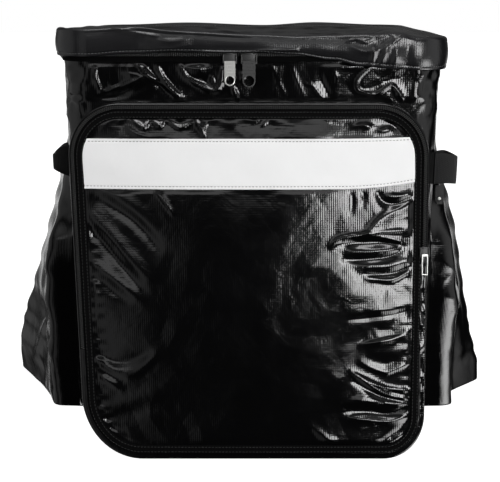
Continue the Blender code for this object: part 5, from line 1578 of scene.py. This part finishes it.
class BACKPACK_OT_pocket_trim(bpy.types.Operator):
    """Sew the matte binding and the zipper with its coil round the front pocket."""

    bl_idname = "backpack.pocket_trim"
    bl_label = "Pocket binding and zipper"

    def execute(self, context):
        trim = context.scene.backpack_trim
        low, high = BINDING_UNDER, BINDING_FACE
        right = BINDING_WIDTH - 0.0002
        profile = [
            (0.0, low), (right, low), (right + 0.0002, low + 0.0006),
            (right - 0.0004, high - 0.0001), (right * 0.75, high), (right * 0.5, high + 0.0001),
            (right * 0.25, high), (0.0006, high - 0.0001), (-0.0001, low + 0.0007),
        ]
        piece = border_sweep("binding_tape", profile)
        dress(piece, tape_cloth(), replaced=("pocket_binding",))
        border = panel_border()
        for label, offset in (("inner", 0.0014), ("outer", BINDING_WIDTH - 0.0016)):
            path = border_points(border, offset, high + 0.0001)
            stitch_row("binding_stitches_" + label, path, PANEL_LOOK, closed=True)
        stations = zipper_stations(border)
        inner = BINDING_WIDTH + 0.0002
        outer = POCKET_MARGIN - 0.0014
        tape = [(inner, 0.0003), (outer, 0.0003), (outer, 0.0010), (inner, 0.0010)]
        piece = border_sweep("pocket_zipper_tape", tape, along=stations)
        dress(piece, tape_cloth(), replaced=("pocket_zipper",))
        for label, side, ahead in (("near", -1, 0.0), ("far", 1, 0.5)):
            offset = (inner + outer) / 2 + side * COIL_WIDTH * 0.24
            line = border_points(border[stations], offset, BINDING_FACE)
            points, runs = walk(line, trim.tooth_pitch)
            points = points + runs * trim.tooth_pitch * ahead
            looks = np.tile(PANEL_LOOK, (len(points), 1))
            model = small_bead(COIL_WIDTH * 0.62, COIL_THICKNESS, COIL_THICKNESS, 6, 5)
            coil = copies("pocket_coil_" + label, model, points, np.cross(looks, runs), looks)
            dress(coil, moulded_plastic())
        return {"FINISHED"}


class BACKPACK_OT_band(bpy.types.Operator):
    """Lay the white band across the panel and stitch its edges."""

    bl_idname = "backpack.band"
    bl_label = "Reflective band"

    def execute(self, context):
        def rows(u, v):
            base = REFLECTIVE_BOTTOM + 0.0026 + (REFLECTIVE_HEIGHT - 0.0018) * v
            share = 2 * u - 1
            up = base + band_lift(share * PANEL_HALF, base)
            across = share * (panel_half(np.where(share < 0, -1, 1), up) + 0.0012)
            seam = sum(bell(v - place, BAND_SEAM_BREADTH) for _, place in BAND_SEAMS)
            wave = 0.0005 * soft_field(across, up, 0.030, 52)
            wave = (wave + 0.0004 * facet_field(across, up, 0.05, 53)) * np.sin(math.pi * v)
            lift = BAND_OFF_PANEL - 0.00035 * seam + wave
            depth = panel_depth(across, up) - panel_relief(across, up) - lift
            points = np.stack((pocket_place(across, up), depth, up), axis=-1)
            return points, np.stack((across, up), axis=-1)

        piece = cloth_grid("white_band", 220, 56, rows)
        face_away(piece, (0.0, 1.0, 0.1))
        apply_modifier(piece, "SOLIDIFY", thickness=BAND_THICKNESS, offset=-1.0)
        smooth_shading(piece)
        dress(piece, band_cloth(), replaced=("reflective_band",))
        thread = sewing_thread("band_thread", (0.10, 0.10, 0.10), 0.5)
        u = np.linspace(0.008, 0.992, 160)
        for label, v in BAND_SEAMS:
            points, _ = rows(u, np.full(len(u), v))
            points = points - np.array((0, 0.0001, 0))
            stitch_row("band_stitches_" + label, points, PANEL_LOOK, thread)
        return {"FINISHED"}


class BACKPACK_OT_gussets(bpy.types.Operator):
    """Drape the two flared expanding sides."""

    bl_idname = "backpack.gussets"
    bl_label = "Side gussets"

    def execute(self, context):
        strength = context.scene.backpack_cloth.crease_strength
        for side, label in ((-1, "left"), (1, "right")):
            creases = LEFT_GUSSET_CREASES if side < 0 else RIGHT_GUSSET_CREASES
            plane = side * (HALF_WIDTH + CLEARANCE)

            def drape(u, v, side=side, creases=creases, plane=plane):
                out, forward, reach, ridge = side_section(side, u, v)
                lifted = GUSSET_HEM_LIFT[side] * out / GUSSET_REACH[side] * (1 - v) ** 6
                height = GUSSET_BOTTOM + (GUSSET_HEIGHT - GUSSET_BOTTOM) * v + lifted
                inset = table_column(GUSSET_ROWS, v, 5)
                start = -GUSSET_DEPTH / 2 + GUSSET_FRONT_INSET * inset
                depth = u * GUSSET_DEPTH
                broad = facet_field(depth - 0.1, height, 0.036, 60 + side)
                broad = 0.0022 * broad * (1 - 0.45 * eased(0.40, 0.60, u))
                fine = 0.0009 * facet_field(depth - 0.1, height, 0.013, 64 + side)
                relief = crease_relief(depth, height, creases, strength) + (broad + fine) * strength
                calm = 1 - 0.96 * eased(0.80, 0.70, v) * bell(u - ridge, RIDGE_BREADTH[side])
                seams = eased(0.0, 0.04, u) * eased(1.0, 0.94, u) * np.minimum(1.0, reach * 90)
                least = 0.0018 * np.minimum(1.0, reach * 150) * eased(0.0, 0.02, u)
                out = np.maximum(out + relief * seams * calm, least)
                y = start + (GUSSET_DEPTH / 2 - start) * u - forward * (1 - inset)
                points = np.stack((plane + side * out, y, height), axis=-1)
                return points, np.stack((depth + out * 0.7, height), axis=-1)

            piece = cloth_grid("gusset_" + label, 170, 190, drape)
            face_away(piece, (0.0, 0.0, 0.1))
            apply_modifier(piece, "SOLIDIFY", thickness=CLOTH_THICKNESS, offset=-1.0)
            smooth_shading(piece)
            dress(piece, coated_cloth(), replaced=("side_gusset_" + label,))
        return {"FINISHED"}


def slider_block(name, width, height):
    """A zipper slider: a floor with rounded flanges, two ears and a nose."""
    floor = block("floor_plate", (width, SLIDER_FLOOR, height), (0, -SLIDER_FLOOR / 2, 0), 0.0004)
    parts = [floor]
    for side in (-1, 1):
        ear = (SLIDER_EAR, SLIDER_DEPTH, height * 0.86)
        spot = (side * (width - SLIDER_EAR) / 2, -SLIDER_DEPTH / 2, 0)
        parts.append(block("ear", ear, spot, 0.0004))
    nose = (width * 0.5, SLIDER_FLOOR * 0.7, height * 0.2)
    parts.append(block("nose", nose, (0, -SLIDER_FLOOR * 0.9, height * 0.46), 0.0003))
    return joined(name, parts)


def ring_pull(name, width, length):
    """A pull: a plate with a knurled face over a round hole with a raised rim."""
    half = width / 2
    hole = half - PULL_WALL
    centre = half - length
    tall = length - half
    plate = block(name, (width, PULL_THICKNESS, tall), (0, 0, PULL_THICKNESS * 0.25 - tall / 2))
    combine(plate, disc(half, PULL_THICKNESS, (0, 0, centre)), "UNION")
    combine(plate, disc(hole, PULL_THICKNESS * 3, (0, 0, centre)))
    apply_modifier(plate, "BEVEL", width=0.00022, segments=2, limit_method="ANGLE")
    nothing_selected()
    bpy.ops.mesh.primitive_torus_add(
        major_radius=hole + 0.00035, minor_radius=0.0005, major_segments=40, minor_segments=8,
        location=(0, -PULL_THICKNESS * 0.42, centre), rotation=(math.pi / 2, 0, 0)
    )
    rim = bpy.context.object
    apply_place(rim)
    spots = []
    for row in range(KNURL_ROWS):
        for column in range(KNURL_ROWS):
            x = (column - 1.5 + (0.25 if row % 2 else -0.25)) * width * 0.22
            spots.append((x, -PULL_THICKNESS / 2, -0.0016 - row * tall * 0.17))
    runs = np.tile((1.0, 0.0, 0.0), (len(spots), 1))
    looks = np.tile((0.0, -1.0, 0.0), (len(spots), 1))
    knurl = copies("knurl", small_bead(*KNURL_SIZE), np.array(spots), runs, looks)
    return joined(name, [plate, rim, knurl])


class BACKPACK_OT_main_zipper(bpy.types.Operator):
    """Sew the main zipper's tape and coil round the body, with two sliders and their pulls."""

    bl_idname = "backpack.main_zipper"
    bl_label = "Main zipper"

    def execute(self, context):
        stations = ring_stations()
        side = stations[:, 0].astype(int)
        left = np.where(side == 3)[0][4:]
        front = np.where(side == 0)[0][:-1]
        right = np.where((side == 1) & (stations[:, 2] == 0))[0][:-4]
        order = np.concatenate((left, front, right))
        points, outs = ring_points(stations, HALF_WIDTH, FRONT, BACK, BODY_CORNER)
        line, out = points[order], outs[order]
        top, low = MAIN_ZIPPER_TOP, MAIN_ZIPPER_TOP - MAIN_ZIPPER_WIDTH
        near, far = CLEARANCE, CLEARANCE + MAIN_ZIPPER_TAPE
        rows = []
        profile = ((near, low), (far, low), (far, low + 0.007), (far, top), (near, top), (near, low))
        for lift, up in profile:
            rows.append(np.column_stack((line + out * lift, np.full(len(line), up))))
        piece = lofted("main_zipper_tape", rows, path_lengths(line), [up for _, up in profile])
        close_mesh(piece)
        dress(piece, tape_cloth(), replaced=("main_zipper",))
        middle = np.column_stack((line + out * (far + 0.0003), np.full(len(line), low + 0.0075)))
        spots, runs = walk(middle, context.scene.backpack_trim.tooth_pitch)
        looks = np.cross(runs, (0.0, 0.0, 1.0))
        uprights = np.tile((0.0, 0.0, 1.0), (len(spots), 1))
        coil = copies("main_coil", small_bead(0.0052, 0.0013, 0.0011), spots, uprights, looks)
        dress(coil, moulded_plastic())
        depth = MAIN_SLIDER_BACK - SLIDER_FLOOR - PULL_SWING_GAP - PULL_THICKNESS / 2
        for label, (across, width, length, metal) in PULLS.items():
            wide = width + 2 * (SLIDER_EAR + CLEARANCE)
            slider = slider_block("slider_" + label, wide, MAIN_SLIDER_HEIGHT)
            hang(slider, (across, MAIN_SLIDER_BACK, MAIN_SLIDER_MIDDLE))
            stands_for = ("main_slider_" + label,)
            dress(slider, cast_metal("dark_metal"), replaced=stands_for)
            pull = ring_pull("pull_" + label, width, length)
            hang(pull, (across, depth, MAIN_SLIDER_MIDDLE - MAIN_SLIDER_HEIGHT / 4))
            dress(pull, cast_metal(metal), label + "_pull", ("main_pull_" + label,))
        return {"FINISHED"}


class BACKPACK_OT_pocket_pull(bpy.types.Operator):
    """Set the pocket zipper's slider and its rectangular wire pull."""

    bl_idname = "backpack.pocket_pull"
    bl_label = "Pocket slider and pull"

    def execute(self, context):
        low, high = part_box("pocket_slider")
        x = (low.x + high.x) / 2
        slope = math.atan2(POCKET_BOTTOM_REACH - POCKET_TOP_REACH, POCKET_HEIGHT)
        offset = (BINDING_WIDTH + POCKET_MARGIN - 0.0013) / 2
        surface = panel_depth(np.array(PANEL_HALF + offset), np.array(POCKET_SLIDER_HEIGHT))
        back = float(surface) - (CLEARANCE * 2 + 0.0008 + COIL_THICKNESS) / math.cos(slope)
        slider = slider_block("pocket_slider_body", high.x - low.x, POCKET_SLIDER_LENGTH)
        hang(slider, (x, back, POCKET_SLIDER_HEIGHT), -slope)
        dress(slider, cast_metal("dark_metal"), replaced=("pocket_slider",))
        wire = POCKET_PULL_WIRE
        half = POCKET_PULL_LENGTH / 2
        size = (POCKET_PULL_WIDTH, PULL_THICKNESS, POCKET_PULL_LENGTH)
        pull = block("pocket_wire", size, (0, 0, -half))
        inside = (POCKET_PULL_WIDTH - 2 * wire, 0.01, POCKET_PULL_LENGTH - 3.5 * wire)
        combine(pull, block("inside", inside, (0, 0, -half - wire * 0.6)))
        apply_modifier(pull, "BEVEL", width=0.00035, segments=3, limit_method="ANGLE")
        stand = SLIDER_FLOOR + PULL_SWING_GAP + PULL_THICKNESS / 2
        down = -POCKET_SLIDER_LENGTH * 0.15
        depth = back - stand * math.cos(slope) + down * math.sin(slope)
        height = POCKET_SLIDER_HEIGHT + stand * math.sin(slope) + down * math.cos(slope)
        hang(pull, (x, depth, height), -slope)
        dress(pull, cast_metal("bright_metal"), "pocket_tab", ("pocket_pull",))
        return {"FINISHED"}


class BACKPACK_OT_side_webbing(bpy.types.Operator):
    """Sew the webbing loops at the front corners, and the riveted tongue under the right one."""

    bl_idname = "backpack.side_webbing"
    bl_label = "Side loops and tongue"

    def execute(self, context):
        wall = HALF_WIDTH + CLEARANCE + WEBBING_THICKNESS / 2
        seam = FRONT + BODY_CORNER + CLEARANCE
        behind = GUSSET_FRONT_INSET - GUSSET_DEPTH / 2 - WEBBING_THICKNESS * 2.5
        for side, label, pinch in ((-1, "left", 0.50), (1, "right", 0.10)):
            reach = LOOP_REACH[side]
            middle = LOOP_TOP[side] - LOOP_HEIGHT / 2
            plan = (
                (0.0, seam), (0.92 * reach, seam - LOOP_FRONT), (reach, seam),
                (0.70 * reach, seam + LOOP_DEPTH), (0.25 * reach, behind), (0.0, behind),
                (0.0, (behind + seam) / 2), (0.0, seam),
            )
            route = smooth_line([(side * (wall + out), y, middle) for out, y in plan], 5)
            out = (np.abs(route[:, 0]) - wall) / reach
            route[:, 2] += 0.0014 * np.sin(out * 3.0)
            width = LOOP_HEIGHT * (1 - pinch * np.clip(out, 0.0, 1.0) ** 2)
            name = "webbing_loop_" + label
            loop = strap_sweep(name, route, (0, 0, 1), width, WEBBING_THICKNESS, ring=True)
            dress(loop, webbing_cloth(), replaced=("side_loop_" + label,))
        x = HALF_WIDTH + CLEARANCE + LOOP_REACH[1] * 0.30
        y = seam - LOOP_FRONT + 0.002
        top = LOOP_TOP[1] - LOOP_HEIGHT - CLEARANCE
        bottom = top - TONGUE_LENGTH
        plan = ((x, y, top), (x, y - 0.0005, (top + bottom) / 2), (x + 0.001, y, bottom))
        route = smooth_line(plan, 8)
        width = TONGUE_WIDTH * np.where(route[:, 2] < bottom + 0.0025, 0.72, 1.0)
        tongue = strap_sweep("webbing_tongue", route, (1, 0, 0), width, WEBBING_THICKNESS)
        dress(tongue, webbing_cloth(), replaced=("strap_tongue",))
        low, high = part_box("tongue_rivet")
        middle = (low + high) / 2
        head = disc((high.x - low.x) / 2, high.y - low.y, middle, 28)
        apply_modifier(head, "BEVEL", width=0.0004, segments=3, limit_method="ANGLE")
        combine(head, disc(0.0006, 0.001, (middle.x, low.y, middle.z), 16))
        head.name = "rivet_head"
        hang(head, (0, 0, 0))
        dress(head, cast_metal("bright_metal"), replaced=("tongue_rivet",))
        return {"FINISHED"}


def box_stitch(name, middle, wide, tall):
    """Sew a rectangle with a cross, as at the end of a strap."""
    x, y, z = middle
    left, right, low, high = x - wide / 2, x + wide / 2, z - tall / 2, z + tall / 2
    plan = (
        (left, y, low), (right, y, low), (right, y, high), (left, y, high),
        (left, y, low), (right, y, high), (right, y, low), (left, y, high),
    )
    stitch_row("stitches_" + name, plan, (0.0, 1.0, 0.0))


class BACKPACK_OT_straps(bpy.types.Operator):
    """Pad the shoulder straps, with their bindings, webbing, ladder locks and lower webbing."""

    bl_idname = "backpack.straps"
    bl_label = "Shoulder straps"

    def execute(self, context):
        near = BACK + CLEARANCE + STRAP_THICKNESS / 2
        for side, label in ((-1, "left"), (1, "right")):
            rows = []
            for level, stand in STRAP_ROWS:
                across = STRAP_BOTTOM_ACROSS + (STRAP_TOP_ACROSS - STRAP_BOTTOM_ACROSS) * level
                height = STRAP_BOTTOM + (STRAP_TOP - STRAP_BOTTOM) * level
                rows.append((side * across, near + STRAP_STAND_OFF * stand, height))
            route = smooth_line(rows, 8)
            runs = np.gradient(route, axis=0)
            runs /= np.linalg.norm(runs, axis=1, keepdims=True)
            outs = np.cross(runs, (1.0, 0.0, 0.0))
            outs *= np.sign(outs[:, 1:2])
            name = "strap_pad_" + label
            pad = strap_sweep(name, route, (1, 0, 0), STRAP_WIDTH, STRAP_THICKNESS, 0.7, 12)
            self.puff(pad)
            dress(pad, strap_mesh(), replaced=("shoulder_strap_" + label,))
            for edge in (-1, 1):
                shift = np.array((edge * (STRAP_WIDTH / 2 - STRAP_EDGE), 0.0, 0.0))
                name = "strap_binding_" + label + ("_in" if edge * side < 0 else "_out")
                thick = STRAP_THICKNESS * 0.62
                trim = strap_sweep(name, route + shift, (1, 0, 0), STRAP_BINDING, thick, 0.6, 5)
                dress(trim, tape_cloth())
                seam = route + shift * 0.955 + outs * STRAP_THICKNESS * 0.335
                stitch_row(name + "_stitches", seam, outs)
            face = route[6:] + outs[6:] * (STRAP_THICKNESS / 2 + 0.0012)
            name = "strap_webbing_" + label
            webbing = strap_sweep(name, face, (1, 0, 0), WEBBING_WIDTH, WEBBING_THICKNESS)
            dress(webbing, webbing_cloth())
            run = route[-1] - route[-2]
            run /= np.linalg.norm(run)
            lock = block("lock", LOCK_SIZE, (0, 0, 0))
            for shift in (-0.0042, 0.0, 0.0042):
                combine(lock, block("slot", (0.027, 0.02, 0.0022), (0, 0, shift)))
            apply_modifier(lock, "BEVEL", width=0.0007, segments=3, limit_method="ANGLE")
            lock.name = "lock_" + label
            centre = route[-1] + run * (CLEARANCE + LOCK_SIZE[2] / 2)
            hang(lock, centre, math.atan2(run[1], -run[2]))
            dress(lock, moulded_plastic(), replaced=("ladder_lock_" + label,))
            start = route[-1] + run * (CLEARANCE * 2 + LOCK_SIZE[2])
            lying = BACK + CLEARANCE + WEBBING_THICKNESS / 2
            landing = LOWER_WEBBING_BOTTOM + LOWER_WEBBING_LANDING
            x = side * LOWER_WEBBING_ACROSS
            plan = (
                start,
                ((start[0] + x) / 2, lying + (start[1] - lying) * 0.42, (start[2] + landing) / 2),
                (x - side * 0.006, lying + (start[1] - lying) * 0.04, landing),
                (x, lying, landing - LOWER_WEBBING_LANDING * 0.3),
                (x, lying, LOWER_WEBBING_BOTTOM),
            )
            path = smooth_line(plan, 8)
            name = "webbing_lower_" + label
            piece = strap_sweep(name, path, (1, 0, 0), WEBBING_WIDTH, WEBBING_THICKNESS)
            dress(piece, webbing_cloth(), replaced=("lower_webbing_" + label,))
            middle = (x, lying + 0.001, LOWER_WEBBING_BOTTOM + 0.0115)
            box_stitch("landing_" + label, middle, 0.019, 0.017)
        return {"FINISHED"}

    def puff(self, pad):
        """Quilt the pad with shallow waves across it."""
        flat = vertex_values(pad.data)
        wave = np.abs(np.sin(flat[:, 2] * math.pi / QUILT_PITCH))
        wave = QUILT_RISE * wave - QUILT_RISE / 2
        flat += vertex_values(pad.data, "normal") * wave[:, None]
        pad.data.vertices.foreach_set("co", flat.astype(np.float32).ravel())
        pad.data.update()


class BACKPACK_OT_handle(bpy.types.Operator):
    """Sew the carrying handle at the top of the back."""

    bl_idname = "backpack.handle"
    bl_label = "Carrying handle"

    def execute(self, context):
        near = BACK + CLEARANCE + HANDLE_THICKNESS / 2
        half = HANDLE_SPAN / 2
        inner = half - HANDLE_LANDING
        plan = (
            (-half, 0.0), (-(half + inner) / 2, 0.0), (-inner, 0.0), (-inner * 0.72, 0.55),
            (0.0, 1.0), (inner * 0.72, 0.55), (inner, 0.0), ((half + inner) / 2, 0.0), (half, 0.0),
        )
        rows = [(x, near + HANDLE_STAND_OFF * out, HANDLE_MIDDLE) for x, out in plan]
        route = smooth_line(rows, 8)
        route[:, 1] = np.maximum(route[:, 1], near)
        piece = strap_sweep("handle_webbing", route, (0, 0, 1), HANDLE_WIDTH, HANDLE_THICKNESS, 0.3)
        dress(piece, webbing_cloth(), replaced=("haul_handle",))
        y = near + HANDLE_THICKNESS / 2 + 0.0001
        for side, label in ((-1, "left"), (1, "right")):
            middle = (side * (half + inner) / 2, y, HANDLE_MIDDLE)
            box_stitch("handle_" + label, middle, 0.018, 0.018)
        return {"FINISHED"}


def studio_room(stage):
    """White room for the camera; for the rest, pale walls at the sides of a dark front and back."""
    world = bpy.data.worlds.new("studio")
    world.use_nodes = True
    tree = world.node_tree

    def number(operation, first, second=0.0):
        made = tree.nodes.new("ShaderNodeMath")
        made.operation = operation
        for socket, value in zip(made.inputs, (first, second)):
            if isinstance(value, (int, float)):
                socket.default_value = value
            else:
                tree.links.new(value, socket)
        return made.outputs[0]

    def ramp(value, low, high):
        made = tree.nodes.new("ShaderNodeMapRange")
        made.interpolation_type = "SMOOTHSTEP"
        tree.links.new(value, made.inputs["Value"])
        made.inputs["From Min"].default_value = low
        made.inputs["From Max"].default_value = high
        return made.outputs["Result"]

    source = tree.nodes.new("ShaderNodeTexCoord")
    split = tree.nodes.new("ShaderNodeSeparateXYZ")
    tree.links.new(source.outputs["Generated"], split.inputs["Vector"])
    x, y, z = split.outputs
    axes = {"x": x, "y": y, "z": z, "off": number("ABSOLUTE", x)}
    total = ROOM_DARK
    for setting, share, edges in WINDOWS:
        window = share * (getattr(stage, setting) if setting else 1.0)
        for axis, ends, full in edges:
            window = number("MULTIPLY", window, ramp(axes[axis], ends, full))
        total = number("ADD", total, window)
    room = tree.nodes["Background"]
    tree.links.new(total, room.inputs["Strength"])
    white = tree.nodes.new("ShaderNodeBackground")
    white.inputs["Color"].default_value = (1.0, 1.0, 1.0, 1.0)
    room.inputs["Color"].default_value = (1.0, 1.0, 1.0, 1.0)
    seen = tree.nodes.new("ShaderNodeLightPath")
    mix = tree.nodes.new("ShaderNodeMixShader")
    tree.links.new(seen.outputs["Is Camera Ray"], mix.inputs[0])
    tree.links.new(room.outputs[0], mix.inputs[1])
    tree.links.new(white.outputs[0], mix.inputs[2])
    tree.links.new(mix.outputs[0], tree.nodes["World Output"].inputs["Surface"])
    return world


class BACKPACK_OT_stage(bpy.types.Operator):
    """Add the pale floor, the soft lights and the camera."""

    bl_idname = "backpack.stage"
    bl_label = "Stage"

    def execute(self, context):
        stage = context.scene.backpack_stage
        nothing_selected()
        bpy.ops.mesh.primitive_grid_add(
            x_subdivisions=24, y_subdivisions=24, size=FLOOR_SIZE, location=FLOOR_PLACE
        )
        floor = context.object
        floor.name = "floor"
        bench = Bench("pale_floor")
        shade = bench.noise(bench.place(), 3.0, 3.0)
        bench.colours(shade, (0.80, 0.80, 0.80), (0.84, 0.84, 0.84))
        bench.roughness(0.7)
        bench.shader.inputs["Emission Color"].default_value = (1.0, 1.0, 1.0, 1.0)
        bench.shader.inputs["Emission Strength"].default_value = 1.0
        floor.data.materials.append(bench.material)
        floor.visible_glossy = False
        floor.visible_diffuse = False
        for name, spot, target, wide, tall, power in LAMPS:
            bpy.ops.object.light_add(type="AREA", location=spot)
            lamp = context.object
            lamp.name = name + "_softbox"
            lamp.data.shape = "RECTANGLE"
            lamp.data.size = wide
            lamp.data.size_y = tall
            lamp.data.energy = getattr(stage, power)
            run = Vector(target) - Vector(spot)
            lamp.rotation_euler = run.to_track_quat("-Z", "Y").to_euler()
        context.scene.world = studio_room(stage)
        turn = (math.pi / 2 - CAMERA_DOWN, 0.0, 0.0)
        bpy.ops.object.camera_add(location=CAMERA_PLACE, rotation=turn)
        camera = context.object
        camera.data.lens = stage.lens
        camera.data.sensor_width = SENSOR_WIDTH
        context.scene.camera = camera
        context.scene.view_settings.view_transform = "Standard"
        return {"FINISHED"}


class BACKPACK_PT_panel(bpy.types.Panel):
    """Steps and settings of the backpack's looks."""

    bl_label = "Backpack"
    bl_idname = "BACKPACK_PT_panel"
    bl_space_type = "VIEW_3D"
    bl_region_type = "UI"
    bl_category = "Backpack"

    def draw(self, context):
        for settings in ("backpack_cloth", "backpack_trim", "backpack_stage"):
            group = getattr(context.scene, settings)
            box = self.layout.box()
            for name in group.bl_rna.properties.keys():
                if name not in ("rna_type", "name"):
                    box.prop(group, name)
        for step in STEPS:
            self.layout.operator(step.bl_idname)


STEPS = (
    BACKPACK_OT_body,
    BACKPACK_OT_lid,
    BACKPACK_OT_front_pocket,
    BACKPACK_OT_pocket_trim,
    BACKPACK_OT_band,
    BACKPACK_OT_gussets,
    BACKPACK_OT_main_zipper,
    BACKPACK_OT_pocket_pull,
    BACKPACK_OT_side_webbing,
    BACKPACK_OT_straps,
    BACKPACK_OT_handle,
    BACKPACK_OT_stage,
)
SETTINGS = (CoatedClothSettings, TrimSettings, StageSettings)


def register():
    for part in SETTINGS + STEPS + (BACKPACK_PT_panel,):
        bpy.utils.register_class(part)
    bpy.types.Scene.backpack_cloth = bpy.props.PointerProperty(type=CoatedClothSettings)
    bpy.types.Scene.backpack_trim = bpy.props.PointerProperty(type=TrimSettings)
    bpy.types.Scene.backpack_stage = bpy.props.PointerProperty(type=StageSettings)


def unregister():
    del bpy.types.Scene.backpack_stage
    del bpy.types.Scene.backpack_trim
    del bpy.types.Scene.backpack_cloth
    for part in reversed(SETTINGS + STEPS + (BACKPACK_PT_panel,)):
        bpy.utils.unregister_class(part)


def main():
    """Build every piece in order."""
    register()
    bpy.ops.backpack.stage()
    bpy.ops.backpack.body()
    bpy.ops.backpack.lid()
    bpy.ops.backpack.front_pocket()
    bpy.ops.backpack.pocket_trim()
    bpy.ops.backpack.band()
    bpy.ops.backpack.gussets()
    bpy.ops.backpack.main_zipper()
    bpy.ops.backpack.pocket_pull()
    bpy.ops.backpack.side_webbing()
    bpy.ops.backpack.straps()
    bpy.ops.backpack.handle()


if __name__ == "__main__":
    main()
